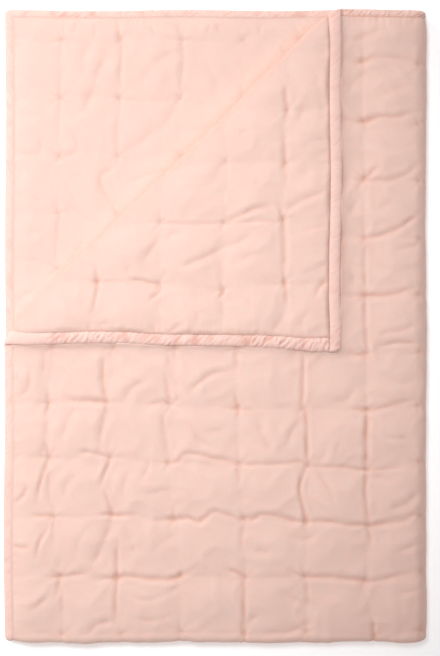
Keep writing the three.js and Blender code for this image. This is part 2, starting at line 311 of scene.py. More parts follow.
def smooth_path(points, pieces=5):
    """A curve through given points (Catmull-Rom)."""
    points = np.array(points, float)
    if len(points) == 2:
        return points
    ends = np.vstack([2 * points[0] - points[1], points, 2 * points[-1] - points[-2]])
    curve = []
    for k in range(len(points) - 1):
        a, b, c, d = ends[k : k + 4]
        for t in np.arange(pieces) / pieces:
            curve.append(
                0.5 * (2 * b + (c - a) * t + (2 * a - 5 * b + 4 * c - d) * t**2
                       + (3 * b - a - 3 * c + d) * t**3)
            )
    curve.append(points[-1])
    return np.array(curve)


def nearest_on_path(px, py, path):
    """Distance in millimetres to a path drawn in pixels, and the share of it passed there."""
    best = np.full(px.shape, np.inf)
    share = np.zeros(px.shape)
    lengths = np.linalg.norm(np.diff(path, axis=0), axis=1)
    total = lengths.sum()
    passed = 0.0
    for (ax, ay), (bx, by), length in zip(path[:-1], path[1:], lengths):
        t = ((px - ax) * (bx - ax) + (py - ay) * (by - ay)) / length**2
        t = np.clip(t, 0, 1)
        d = np.hypot(px - ax - t * (bx - ax), py - ay - t * (by - ay))
        closer = d < best
        best = np.where(closer, d, best)
        share = np.where(closer, (passed + t * length) / total, share)
        passed += length
    return best * MM_PER_PIXEL, share


CREASE_SHARPNESS = 0.95  # share of the width in the tables that is built
CREASE_LINE = 2.5  # half width of the line of painted shade at the bottom of a sharp crease
SOFT_WIDTH, SHARP_DEPTH = 7, 1.5  # a crease wider than this has no such line, a deeper one all of it
CREASE_REACH = 5  # widths past which a crease isn't felt
CREASE_END = 0.22  # share of its length over which each end dies away
CREASE_RIDGE = 0.26  # height of the ridge beside a trough of depth 1


def crease_relief(px, py, creases):
    """Heights of all creases in a table with the columns depth, width (mm) and points, and a
    line from 0 to 1 along the bottom of the sharp ones, which is drawn as painted shade."""
    relief = np.zeros(px.shape)
    lines = np.zeros(px.shape)
    for depth, width, points in creases:
        path = smooth_path(points)
        reach = CREASE_REACH * width / MM_PER_PIXEL
        low_x, low_y = path.min(0) - reach
        high_x, high_y = path.max(0) + reach
        near = (px > low_x) & (px < high_x) & (py > low_y) & (py < high_y)
        if not near.any():
            continue
        d, share = nearest_on_path(px[near], py[near], path)
        taper = 0.3 + 0.7 * ease(np.minimum(share, 1 - share) / CREASE_END)
        taper = taper * (0.85 + 0.4 * noise(px[near], py[near], size=15, seed=5))
        width = CREASE_SHARPNESS * width
        trough = 0.8 * np.exp(-((d / width) ** 1.4)) + 0.2 * np.exp(-((2 * d / width) ** 1.4))
        ridge = CREASE_RIDGE * bell(d - 2.0 * width, 1.1 * width)
        relief[near] += depth * taper * (ridge - trough)
        sharp = np.clip((SOFT_WIDTH - width) / 3, 0, 1) * min(1, depth / SHARP_DEPTH)
        line = sharp * taper * bell(d, CREASE_LINE)
        lines[near] = np.maximum(lines[near], line)
    return relief, lines


# %% [markdown]
# The ties
#
# The ties stand in a grid, but each one wandered a little when it was sewn, and the folded cloth
# has pulled them further. A plain array would look stamped, so each face that shows has its own
# table: a regular grid, and the pixel where each tie that shows really stands. The grid also says
# how deep its valleys are, how high its pillows, how strong its creases, and the seed of its
# noise.

# %% Tables of ties: (row, column) and pixel
TOP_GRID = {
    "x0": 50.0, "dx": 61.5, "y0": 58.0, "dy": 57.4, "columns": 7, "rows": 11,
    "valley": 0.5, "crown": 1.35, "strength": 1.62, "seed": 100,
}
TOP_TIES = {
    (6, 0): (45, 400), (6, 1): (105, 399), (6, 2): (168, 402), (6, 3): (235, 405),
    (6, 4): (301, 406), (6, 5): (364.5, 407), (6, 6): (417, 403.5),
    (7, 0): (47, 455), (7, 1): (108, 455), (7, 2): (166, 460), (7, 3): (237, 461),
    (7, 4): (306, 463), (7, 5): (364.5, 467), (7, 6): (418, 459),
    (8, 0): (51, 514), (8, 1): (110, 512), (8, 2): (172, 517), (8, 3): (242, 516),
    (8, 4): (304, 519), (8, 5): (366, 523), (8, 6): (418, 513),
    (9, 0): (58, 573), (9, 1): (114, 575), (9, 2): (178, 573.5), (9, 3): (243, 575),
    (9, 4): (303, 574), (9, 5): (363, 578), (9, 6): (419, 569),
    (10, 0): (60, 631), (10, 1): (119, 631), (10, 2): (179, 629), (10, 3): (241, 631),
    (10, 4): (304, 629), (10, 5): (372, 634), (10, 6): (419, 628),
    (0, 5): (360, 58), (1, 5): (361, 118), (2, 5): (362, 176), (3, 5): (363, 235),
    (4, 5): (363, 293), (5, 5): (364.5, 351),
    (0, 6): (417, 61), (1, 6): (417, 121), (2, 6): (418, 178), (3, 6): (418, 236),
    (4, 6): (417, 292), (5, 6): (418, 349),
}
UNDER_GRID = {
    "x0": 57.0, "dx": 61.0, "y0": 36.5, "dy": 57.4, "columns": 5, "rows": 6,
    "valley": 0.16, "crown": 0.6, "strength": 1.05, "seed": 300,
}
UNDER_TIES = {
    (0, 0): (60, 36.5), (0, 1): (119, 36), (0, 2): (180, 36.5), (0, 3): (241, 37),
    (1, 0): (58, 95.5), (1, 1): (117, 95.5), (1, 2): (178, 95), (1, 3): (241, 100),
    (2, 0): (57, 154), (2, 1): (115.5, 153.5), (2, 2): (178, 153),
    (3, 0): (56, 210), (3, 1): (114, 210.5),
    (4, 0): (54.7, 266),
}
FLAP_GRID = {
    "x0": 95.0, "dx": 62.5, "y0": 107.0, "dy": 58.0, "columns": 4, "rows": 4,
    "valley": 0.22, "crown": 1.9, "strength": 1.38, "seed": 200,
}
FLAP_TIES = {
    (0, 3): (285, 107), (1, 2): (224, 159), (1, 3): (283.6, 160),
    (2, 1): (158, 219), (2, 2): (221.5, 220.5), (2, 3): (281, 216),
    (3, 0): (95, 279), (3, 1): (157, 281), (3, 2): (219.5, 287), (3, 3): (282, 280),
}
print("Ties that show:", len(TOP_TIES) + len(UNDER_TIES) + len(FLAP_TIES))

# %% A grid that follows its ties


def tie_offsets(grid, ties):
    """How far each tie lies from its place in the regular grid, in pixels."""
    offsets = np.zeros((grid["rows"], grid["columns"], 2))
    for (row, column), (x, y) in ties.items():
        offsets[row, column] = (
            x - grid["x0"] - column * grid["dx"],
            y - grid["y0"] - row * grid["dy"],
        )
    return offsets


def grid_place(px, py, grid, offsets):
    """Where a point stands in a grid of ties: (column, row), whole numbers at a tie."""
    rows, columns = offsets.shape[:2]
    s = (px - grid["x0"]) / grid["dx"]
    t = (py - grid["y0"]) / grid["dy"]
    for _ in range(4):
        i = np.clip(np.floor(s).astype(int), 0, columns - 2)
        j = np.clip(np.floor(t).astype(int), 0, rows - 2)
        fs = ease(s - i)[..., None]
        ft = ease(t - j)[..., None]
        upper = offsets[j, i] * (1 - fs) + offsets[j, i + 1] * fs
        lower = offsets[j + 1, i] * (1 - fs) + offsets[j + 1, i + 1] * fs
        moved = upper * (1 - ft) + lower * ft
        s = (px - moved[..., 0] - grid["x0"]) / grid["dx"]
        t = (py - moved[..., 1] - grid["y0"]) / grid["dy"]
    return s, t


# %% [markdown]
# Pillows
#
# Between four ties the wadding pushes the cloth up into a pillow. Along the lines from tie to tie
# the cloth falls into a sharp valley, deeper at some edges than others, and at the tie itself it
# is drawn down to a dimple, with short pleats around it. A cloth simulation with pinned ties
# gives even pillows. Formulas let some edges stay flat, as they do in the photograph.

# %% Pillows, valleys and dimples
CROWN_HEIGHT = 2.0
VALLEY_DEPTH = 2.4
VALLEY_WIDTH = 9.0
DIMPLE_DEPTH = 3.4
DIMPLE_WIDTH = 5.5
PLEAT_HEIGHT = 0.9
PLEAT_START = 5
PLEAT_REACH = 16.0
FEWEST_PLEATS, PLEATS_BELOW = 4, 8
VALLEY_SHARES = (0.25, 0.9)  # least and most share of the depth along one edge of a pillow
VALLEY_WANDER = 1.6  # pixels that a valley strays from the straight line between its ties
VALLEY_WANDER_SIZE = 22


def pillow_relief(px, py, grid, ties):
    """Heights of valleys, dimples and pleats, and of the pillows' crowns."""
    seed = grid["seed"]
    random = np.random.default_rng(seed)
    rows, columns = grid["rows"], grid["columns"]
    offsets = tie_offsets(grid, ties)
    wander_x = px + VALLEY_WANDER * noise(px, py, VALLEY_WANDER_SIZE, seed + 1)
    wander_y = py + VALLEY_WANDER * noise(px, py, VALLEY_WANDER_SIZE, seed + 2)
    s, t = grid_place(wander_x, wander_y, grid, offsets)
    i = np.clip(np.rint(s).astype(int), 0, columns - 1)
    j = np.clip(np.rint(t).astype(int), 0, rows - 1)
    across = np.abs(s - i) * grid["dx"] * MM_PER_PIXEL
    along = np.abs(t - j) * grid["dy"] * MM_PER_PIXEL

    column_strength = random.uniform(*VALLEY_SHARES, (rows + 2, columns))
    row_strength = random.uniform(*VALLEY_SHARES, (rows, columns + 2))
    jj = np.clip(np.floor(t).astype(int) + 1, 0, rows + 1)
    ii = np.clip(np.floor(s).astype(int) + 1, 0, columns + 1)
    in_columns = column_strength[jj, i] * np.exp(-across / VALLEY_WIDTH)
    in_rows = row_strength[j, ii] * np.exp(-along / VALLEY_WIDTH)
    relief = -VALLEY_DEPTH * grid["valley"] * (in_columns + in_rows)
    crown = CROWN_HEIGHT * grid["crown"] * np.abs(np.sin(math.pi * s) * np.sin(math.pi * t)) ** 1.3

    tie_x = grid["x0"] + i * grid["dx"] + offsets[j, i, 0]
    tie_y = grid["y0"] + j * grid["dy"] + offsets[j, i, 1]
    dx = (px - tie_x) * MM_PER_PIXEL
    dy = (py - tie_y) * MM_PER_PIXEL
    r = np.hypot(dx, dy)
    count = random.integers(FEWEST_PLEATS, PLEATS_BELOW, (rows, columns))[j, i]
    phase = random.uniform(0, 2 * math.pi, (rows, columns))[j, i]
    pleats = np.cos(count * np.arctan2(dy, dx) + phase) * (1 - bell(r, PLEAT_START))
    relief -= DIMPLE_DEPTH * np.exp(-r / DIMPLE_WIDTH)
    relief += PLEAT_HEIGHT * pleats * np.exp(-r / PLEAT_REACH)
    return relief, crown


# %% Slow swells and loose wrinkles
SWELL_HEIGHT = 0.9
SWELL_SIZE = 58  # pixels
WRINKLE_BEND = 9  # pixels that the line of a wrinkle strays
WRINKLE_BEND_SIZE = 45
WRINKLES = ((30, 0.85, 0.16), (13, 0.16, 0.2))  # size in pixels, height, softness of the ridge
WRINKLE_LEVEL = 0.4  # brings the wrinkles' middle height to about zero


def wrinkle_relief(px, py, seed):
    """Slow swells, and wrinkles that run in bent lines."""
    bend_x = px + WRINKLE_BEND * noise(px, py, WRINKLE_BEND_SIZE, seed)
    bend_y = py + WRINKLE_BEND * noise(px, py, WRINKLE_BEND_SIZE, seed + 1)
    relief = SWELL_HEIGHT * noise(px, py, SWELL_SIZE, seed + 2)
    for place, (size, height, softness) in enumerate(WRINKLES):
        ridge = 1 - np.hypot(noise(bend_x, bend_y, size, seed + 3 + place), softness)
        relief = relief + height * (ridge**3 - WRINKLE_LEVEL)
    return relief


# %% [markdown]
# Creases, listed one by one
#
# These are the troughs that the eye finds first: the strong ones that run out of a tie, the ones
# where a leaf was folded before, and the short puckers at the seams. Noise can't put a crease
# where the photograph has one, so each is a line of a few points, listed one by one. A row holds
# the depth and the width in millimetres, and the points in pixels.

# %% Creases of the top leaf
TOP_CREASES = (
    (1.6, 5, ((65, 396), (85, 398), (104, 399))),
    (1.0, 5, ((148, 401), (160, 399), (168, 402))),
    (0.8, 4, ((222, 404), (235, 405), (250, 407))),
    (1.2, 5, ((345, 404), (364, 407), (390, 402), (415, 395))),
    (1.3, 5, ((75, 449), (90, 450), (108, 455))),
    (1.5, 5, ((166, 461), (176, 458), (183, 451), (200, 452), (220, 457), (238, 460))),
    (1.0, 4, ((238, 461), (270, 461), (300, 459), (306, 463))),
    (0.9, 4, ((306, 463), (340, 464), (365, 467), (410, 463))),
    (1.0, 4, ((28, 512), (45, 513), (52, 515))),
    (1.0, 4, ((95, 512), (110, 512), (134, 511))),
    (1.7, 5, ((152, 517), (172, 517), (186, 515), (196, 519), (205, 513), (214, 509), (241, 516))),
    (1.7, 5, ((241, 516), (250, 517), (262, 511), (285, 516), (304, 519))),
    (1.5, 5, ((304, 519), (322, 518), (345, 521), (366, 523), (385, 520), (403, 517), (416, 506))),
    (1.2, 5, ((44, 573), (58, 573), (86, 570))),
    (1.7, 5, ((92, 577), (114, 575), (128, 573), (148, 576), (168, 576), (178, 573), (196, 563))),
    (1.4, 6, ((226, 567), (243, 574))),
    (1.5, 5, ((288, 568), (303, 573), (322, 574), (350, 576), (363, 578), (388, 575), (412, 569))),
    (1.0, 6, ((126, 592), (145, 597), (165, 590), (180, 581))),
    (0.8, 6, ((135, 614), (150, 617), (168, 612))),
    (1.0, 5, ((42, 350), (41, 372))),
    (1.2, 4, ((46, 388), (46, 402), (43, 412))),
    (0.8, 6, ((45, 414), (43, 435), (39, 458))),
    (1.0, 4, ((44, 440), (47, 456))),
    (1.5, 4, ((47, 457), (40, 475), (34, 500))),
    (0.8, 3, ((46, 470), (47, 500))),
    (1.4, 4, ((46, 524), (37, 539), (34, 556))),
    (0.8, 3, ((51, 517), (51, 541))),
    (1.0, 4, ((58, 574), (53, 597))),
    (0.9, 4, ((59, 582), (61, 612))),
    (1.8, 6, ((103, 350), (101, 372), (104, 397))),
    (1.4, 7, ((105, 402), (100, 425), (97, 450))),
    (1.4, 4, ((108, 457), (103, 468), (98, 482))),
    (1.5, 4, ((103, 490), (110, 512))),
    (1.5, 7, ((108, 521), (101, 540), (90, 562))),
    (1.6, 4, ((115, 538), (114, 575), (113, 620))),
    (1.4, 8, ((76, 404), (66, 416), (60, 437))),
    (0.9, 7, ((74, 470), (63, 485), (61, 496))),
    (0.8, 7, ((84, 524), (76, 540), (74, 552))),
    (1.2, 5, ((166, 352), (167, 362))),
    (1.2, 5, ((163, 372), (168, 400))),
    (1.0, 5, ((160, 408), (162, 430), (166, 459))),
    (1.2, 4, ((235, 350), (234, 366))),
    (1.2, 4, ((233, 392), (236, 405), (235, 416))),
    (0.8, 4, ((237, 463), (236, 482))),
    (1.0, 5, ((241, 522), (238, 546))),
    (1.5, 4, ((242, 577), (242, 605), (242, 640))),
    (1.8, 4, ((302, 351), (301, 378), (300, 404))),
    (1.8, 4, ((304, 408), (305, 435), (306, 461))),
    (1.9, 4, ((303, 465), (297, 484), (301, 504), (304, 519), (304, 528))),
    (0.8, 4, ((304, 580), (306, 602))),
    (0.7, 4, ((363, 240), (362, 291))),
    (0.9, 4, ((363, 296), (363, 320), (365, 348))),
    (2.2, 5, ((365, 410), (364, 440), (365, 466))),
    (1.4, 4, ((366, 470), (363, 488), (365, 508), (366, 523))),
    (1.0, 4, ((366, 525), (369, 542))),
    (1.0, 4, ((371, 618), (372, 640))),
    (1.6, 6, ((186, 390), (205, 373), (228, 367))),
    (1.5, 7, ((121, 398), (131, 385), (147, 374))),
    (1.0, 7, ((174, 378), (176, 396))),
    (1.2, 7, ((256, 418), (264, 440), (273, 453))),
    (1.2, 8, ((301, 412), (291, 428), (281, 446))),
    (1.0, 6, ((314, 462), (322, 450), (326, 438))),
    (0.8, 6, ((331, 452), (337, 440))),
    (1.0, 6, ((316, 470), (325, 485), (331, 501))),
    (1.0, 7, ((127, 466), (121, 485), (122, 496))),
    (1.0, 5, ((147, 456), (144, 467), (139, 474))),
    (0.8, 8, ((141, 493), (155, 489), (168, 486))),
    (0.9, 6, ((123, 524), (128, 540), (134, 551))),
    (1.6, 5, ((24, 482), (21, 492), (12, 500))),
    (1.4, 5, ((9, 542), (18, 544), (27, 543))),
    (1.3, 6, ((28, 366), (26, 384), (17, 394))),
    (1.0, 5, ((10, 376), (17, 372))),
    (0.9, 8, ((150, 548), (162, 538), (175, 532))),
    (1.2, 9, ((252, 547), (270, 550))),
    (1.0, 7, ((284, 533), (300, 536), (316, 531))),
    (0.9, 7, ((276, 589), (292, 596), (312, 603))),
    (1.1, 6, ((30, 606), (38, 600), (46, 595))),
    (1.5, 6, ((86, 632), (94, 622), (110, 617))),
    (1.2, 6, ((240, 626), (248, 617), (256, 612))),
    (1.1, 6, ((262, 631), (285, 629), (302, 622), (315, 621))),
    (1.0, 6, ((208, 443), (196, 436), (188, 422))),
    (0.8, 8, ((200, 430), (222, 426))),
    (0.9, 7, ((330, 400), (345, 396), (352, 385))),
    (1.1, 6, ((343, 52), (358, 59), (376, 54), (415, 57))),
    (1.5, 5, ((343, 116), (361, 119), (376, 114), (398, 113), (417, 107))),
    (1.1, 6, ((352, 186), (361, 176), (376, 164))),
    (1.2, 5, ((364, 177), (388, 177), (405, 170), (418, 159))),
    (1.7, 5, ((363, 236), (382, 231), (400, 223), (417, 211))),
    (1.0, 6, ((392, 247), (417, 242))),
    (1.4, 5, ((346, 294), (363, 293), (390, 291), (416, 283))),
    (1.0, 6, ((376, 331), (398, 327), (415, 321))),
    (1.3, 5, ((374, 343), (395, 340), (417, 340))),
    (1.4, 6, ((344, 350), (356, 352), (365, 350))),
    (1.0, 6, ((382, 434), (406, 436))),
    (1.1, 7, ((346, 38), (362, 33), (382, 25))),
    (0.9, 7, ((372, 475), (394, 477))),
    (1.5, 7, ((386, 507), (403, 501), (418, 487))),
    (1.1, 6, ((395, 549), (415, 541))),
    (1.1, 6, ((396, 590), (416, 586))),
    (0.9, 9, ((346, 90), (352, 78), (366, 70))),
    (0.8, 8, ((380, 92), (398, 84), (412, 84))),
    (0.8, 8, ((378, 140), (396, 146), (412, 141))),
    (0.8, 8, ((345, 212), (352, 204), (357, 196))),
    (0.8, 8, ((376, 206), (392, 198))),
    (0.9, 8, ((345, 262), (351, 270), (350, 282))),
    (0.8, 8, ((376, 262), (392, 268), (410, 266))),
    (0.9, 8, ((385, 375), (400, 380), (415, 376))),
)
print("Creases of the top leaf:", len(TOP_CREASES))

# %% Creases of the leaf below, which shows above the turned corner
UNDER_CREASES = (
    (1.3, 5, ((113, 14), (118, 36), (118, 65), (117, 95))),
    (1.1, 6, ((117, 95), (115, 125), (115, 152))),
    (1.9, 10, ((90, 38), (83, 50), (80, 75))),
    (2.0, 10, ((104, 50), (95, 75), (88, 95), (78, 110))),
    (1.4, 7, ((13, 150), (26, 151), (38, 149), (37, 134))),
    (1.2, 6, ((57, 154), (68, 151), (75, 145), (70, 130))),
    (1.4, 6, ((115, 158), (106, 167), (98, 176), (105, 195), (114, 210))),
    (1.4, 6, ((115, 214), (111, 226), (100, 240))),
    (1.2, 7, ((124, 180), (145, 172), (162, 168), (172, 172))),
    (1.5, 10, ((123, 150), (145, 135), (165, 118), (176, 97))),
    (1.4, 11, ((135, 85), (150, 65), (164, 53), (176, 50))),
    (1.3, 6, ((179, 36), (181, 52), (178, 92))),
    (1.0, 7, ((189, 131), (200, 124), (221, 125))),
    (1.0, 7, ((60, 195), (75, 210), (95, 222))),
    (0.9, 7, ((12, 190), (26, 193), (40, 197))),
    (1.2, 6, ((238, 80), (241, 104))),
    (1.0, 7, ((278, 44), (290, 55))),
    (1.0, 6, ((292, 20), (298, 46))),
    (0.9, 5, ((57, 213), (55, 235), (52, 258))),
    (1.2, 7, ((84, 236), (73, 250), (64, 262))),
    (1.0, 6, ((20, 258), (36, 256))),
    (1.2, 6, ((14, 300), (22, 292), (32, 288))),
    (0.6, 6, ((58, 37), (57, 60), (58, 94))),
    (0.6, 6, ((58, 96), (56, 120), (57, 152))),
    (0.5, 8, ((62, 96), (90, 92), (116, 95))),
    (0.8, 6, ((120, 96), (148, 98), (177, 95))),
    (0.4, 6, ((20, 37), (42, 39), (60, 37), (88, 38), (118, 36))),
    (0.4, 6, ((120, 36), (150, 35), (180, 36), (212, 38), (240, 37))),
    (0.9, 8, ((200, 60), (212, 72), (216, 88))),
    (0.8, 8, ((20, 75), (34, 84), (46, 82))),
    (0.8, 8, ((20, 115), (36, 112), (46, 120))),
    (0.8, 8, ((140, 108), (150, 120), (146, 128))),
    (0.8, 8, ((24, 226), (38, 232), (44, 242))),
    (0.8, 8, ((76, 168), (84, 180), (84, 192))),
    (0.9, 4, ((60, 21), (61, 30))),
    (0.9, 4, ((73, 21), (72, 29))),
    (1.0, 4, ((93, 21), (92, 34))),
    (0.9, 4, ((148, 21), (150, 31))),
    (0.9, 4, ((175, 21), (177, 32))),
    (0.9, 4, ((207, 21), (205, 30))),
    (0.9, 4, ((215, 21), (217, 31))),
    (0.9, 4, ((258, 21), (257, 32))),
)
print("Creases of the leaf below:", len(UNDER_CREASES))

# %% Creases of the turned corner
FLAP_CREASES = (
    (2.2, 5, ((222, 220), (235, 214), (250, 207), (267, 203))),
    (1.6, 6, ((283, 206), (300, 197), (327, 185))),
    (1.0, 3.5, ((158, 219), (190, 221), (221, 220))),
    (0.8, 4, ((226, 221), (255, 218), (280, 219))),
    (1.4, 5, ((283, 82), (285, 107), (285, 118))),
    (1.1, 5, ((281, 128), (283, 158), (284, 182))),
    (1.7, 5, ((278, 202), (282, 222), (283, 246), (282, 268))),
    (1.6, 4, ((282, 270), (283, 285), (284, 304))),
    (1.0, 7, ((303, 104), (299, 112), (296, 121))),
    (1.5, 8, ((158, 232), (150, 246), (140, 260))),
    (1.1, 6, ((180, 230), (170, 231), (164, 239))),
    (1.7, 7, ((177, 264), (190, 259), (206, 253), (221, 244))),
    (1.2, 7, ((221, 244), (235, 240), (249, 232))),
    (1.5, 3.5, ((128, 276), (144, 278), (157, 281))),
    (1.3, 3.5, ((157, 281), (157, 290), (147, 297))),
    (1.4, 4, ((93, 264), (95, 279), (93, 295), (90, 311))),
    (0.7, 3.5, ((78, 279), (95, 279), (122, 278))),
    (1.4, 3.5, ((220, 281), (221.5, 288), (216, 295))),
    (1.5, 5, ((327, 278), (318, 283), (312, 293))),
    (1.1, 6, ((327, 262), (313, 266), (300, 272))),
    (1.0, 7, ((238, 258), (252, 252), (264, 253))),
    (1.2, 8, ((284, 308), (279, 318), (270, 329))),
    (1.2, 8, ((306, 308), (300, 318), (299, 326))),
    (1.1, 8, ((196, 308), (194, 320))),
    (1.0, 6, ((219, 298), (222, 316))),
    (0.9, 8, ((245, 296), (250, 310))),
    (1.4, 4, ((163, 331), (171, 326), (179, 321))),
    (1.1, 4, ((185, 331), (189, 327))),
    (1.2, 4, ((152, 331), (151, 324))),
    (1.2, 4, ((99, 331), (97, 322), (106, 320))),
    (1.0, 4, ((86, 331), (87, 322))),
    (1.0, 5, ((118, 330), (122, 322))),
    (1.2, 4, ((212, 333), (224, 331), (232, 329))),
    (1.1, 4, ((250, 333), (256, 328))),
    (1.1, 4, ((64, 330), (58, 328))),
    (0.9, 9, ((195, 186), (210, 178), (222, 162))),
    (0.9, 9, ((236, 132), (250, 126), (262, 128))),
    (0.9, 9, ((250, 176), (262, 184), (276, 182))),
    (0.9, 8, ((300, 146), (312, 138), (327, 136))),
    (0.8, 8, ((300, 172), (314, 166))),
    (0.9, 8, ((300, 232), (313, 224), (327, 222))),
    (0.8, 8, ((302, 62), (312, 72), (316, 84))),
    (0.9, 9, ((64, 296), (76, 302), (84, 300))),
    (0.9, 8, ((118, 252), (126, 262), (124, 270))),
    (0.9, 9, ((190, 286), (200, 294))),
    (0.8, 8, ((244, 276), (262, 280), (280, 280))),
)
print("Creases of the turned corner:", len(FLAP_CREASES))

# %% [markdown]
# The wadded cloth
#
# The cloth is built as two closed halves, the front and the back, that meet in the middle of the
# wadding, as the real one has two faces. Each half has a fine grid where it shows. Inside the
# pile, where nobody looks, a whole block of the grid becomes one fan of triangles, which keeps
# the mesh light and still without a gap.

# %% How thick the cloth is
PLAIN_THINNER = 0.4  # the plain cloth is this much thinner than a puff, on each side
RIM_FADE = 4.5  # the rim grows to the full thickness over this length,
LIFT_FADE = 32.0  # the shown faces to their full loft over this one,
RELIEF_FADE = 7.0  # and pillows, creases and wrinkles to their full height over this one
FADE_START = 2.0  # all three begin this far under the binding
FACE_LIFT = 1.2  # loft of the faces that no other leaf presses on
LEAST_HALF = 0.5
LEAST_TURN = 0.5
CLOTH_INSET = BINDING_WIDTH - 3.0  # the cloth ends this far inside the binding's outer edge


def from_rim(u, v):
    """Distance from the inner edge of the binding, below zero under the binding."""
    edge = np.minimum(np.minimum(u, v), np.minimum(FLAT_WIDTH - u, FLAT_LENGTH - v))
    return edge - BINDING_WIDTH


def fade_in(u, v, length):
    """From 0 just under the binding to 1 at this length further in."""
    return ease((from_rim(u, v) + FADE_START) / length)


def plain_half(u, v):
    """Half thickness where nothing is drawn, thin at the rim."""
    full = PUFF_THICKNESS / 2 - PLAIN_THINNER
    return RIM_THICKNESS / 2 + (full - RIM_THICKNESS / 2) * fade_in(u, v, RIM_FADE)


def keep_above(height):
    """Keeps a half of the cloth at least LEAST_HALF thick, with a soft turn."""
    return LEAST_HALF + LEAST_TURN * np.logaddexp(0, (height - LEAST_HALF) / LEAST_TURN)


# %% Gathers and shade along the seam of the binding
GATHERS = ((7.5, 0.3, 1.0), (15, 0.2, 0.6))  # length along the seam, stretch inwards, height
GATHER_HEIGHT = 1.1
GATHER_MORE = 2.4  # with this much more along the top edge of the pile, in a band this wide
TOP_BAND = 90
GATHER_REACH = 10  # how far the gathers run in,
GATHER_START = 2.5  # and the length over which they rise from the seam
SEAM_WIDTH = 2.2
LOWER_LEG_SHADE = 0.4  # painted shade in the seam's groove along the lower leg of the turned corner,
RIGHT_LEG_SHADE = 0.45  # with this much more along its right leg and the top edge of the pile
FAINT_SEAM_SHADE = 0.15  # painted shade in every other seam
LEG_END, LEG_FADE, LEG_END_SHARE = 540, 120, 0.35  # the lower leg's painted shade fades near the crease
TIP_BAND = 20


def rim_puckers(u, v, seed):
    """Short gathers that run in from the seam of the binding, strongest at the pile's top edge."""
    inside = np.clip(from_rim(u, v), 0, None)
    along = np.where(np.minimum(u, FLAT_WIDTH - u) < np.minimum(v, FLAT_LENGTH - v), v, u)
    gathers = 0
    for place, (size, stretch, height) in enumerate(GATHERS):
        gathers = gathers + height * noise(along, inside * stretch, size, seed + place)
    strength = GATHER_HEIGHT + GATHER_MORE * ((v < TOP_BAND) & (u > CREASE_ALONG_TOP - 20))
    reach = GATHER_REACH * (1 + 0.6 * noise(along, inside * 0.1, size=26, seed=seed + 2))
    return strength * gathers * np.exp(-inside / reach) * (1 - np.exp(-inside / GATHER_START))


def seam_shade(u, v, px, py, seed):
    """Painted shade in the seam's groove, along the line where cloth meets binding."""
    line = bell(from_rim(u, v) + 1, SEAM_WIDTH) * (0.8 + 0.5 * noise(px, py, size=9, seed=seed))
    faint = (crease_distance(u, v) > 0) & ((u < CREASE_ALONG_TOP) | (v > 60))
    legs = LEG_END_SHARE + (1 - LEG_END_SHARE) * ease((LEG_END - v) / LEG_FADE)
    legs = legs * (LOWER_LEG_SHADE + RIGHT_LEG_SHADE * ease((u - v) / TIP_BAND + 0.5))
    return np.where(faint, FAINT_SEAM_SHADE, legs) * line


# %% How each shown face is shaped
CREASE_WANDER = 0.8  # pixels that a listed crease strays from its line
WRINKLE_STRENGTH = 1.5
DEPTH_SHADE, FULL_DEPTH = 0.55, 5  # painted shade of a trough this deep
LINE_SHADE = 0.32  # painted shade along the fold line of a sharp crease
# the gathers at the seam take this much more painted shade
GATHER_SHADE = 1.5
CHANGE_BAND = 12  # the front face gives way to the back one over this band along the crease
SIDE_PINCH = 1.2  # how much thinner the cloth lies round the side bend
SIDE_PINCH_WIDTH = 26.0
SIDE_STRETCH = 0.6  # share of the relief that is stretched flat there
CREASE_BANK = 11.0  # how far the leaf below swells up beside the turned fold
CREASE_BANK_WIDTH = 13.0
CREASE_PINCH = 0.56  # share by which the cloth is thinner in the turned fold
CREASE_PINCH_WIDTH = 26.0
# how far the painted shade on and beside the turned fold sits from the crease
CREASE_SHADE_SHIFT = 3
FOLD_SHADE, FOLD_SHADE_WIDTH = 0.35, 6  # painted shade that dims the lit crest of the turned fold
BESIDE_SHADE, BESIDE_SHADE_WIDTH = 0.4, 10  # painted contact shade on the leaf below, where the fold touches it
BELOW_SHOWN, BELOW_FADE = 40, 20  # the leaf below is shaped this far under the fold
FLAP_BANK = 6.8  # how far the leaf beside the turned corner swells up at the corner's edges,
FLAP_BANK_BELOW = 1.4  # with this much more at its lower edge
FLAP_BANK_WIDTH = 12.0
FLAP_BANK_UNDER = 9.0  # the width of that swell under the corner
CONTACT_SHADE, CONTACT_SHADE_RIGHT = 0.1, 0.5  # painted contact shadow on that leaf where the corner touches it
CONTACT_WIDTH = 3
EDGE_FADE = 8  # pixels over which the values of the corner's two edges begin
FLAP_RIGHT, FLAP_RIGHT_FROM, FLAP_LOWER_FROM = 341, 330, 335  # pixels
FLAP_OUTLINE = np.array([
    (339, 13), (341, 45), (341, 200), (340.5, 300), (340, 345), (336, 351), (310, 351), (290, 349),
    (265, 347), (200, 345.3), (160, 344.7), (130, 343.7), (90, 343.3), (50, 344.4), (7, 345),
])
flap_lower_edge = FLAP_OUTLINE[:5:-1].T


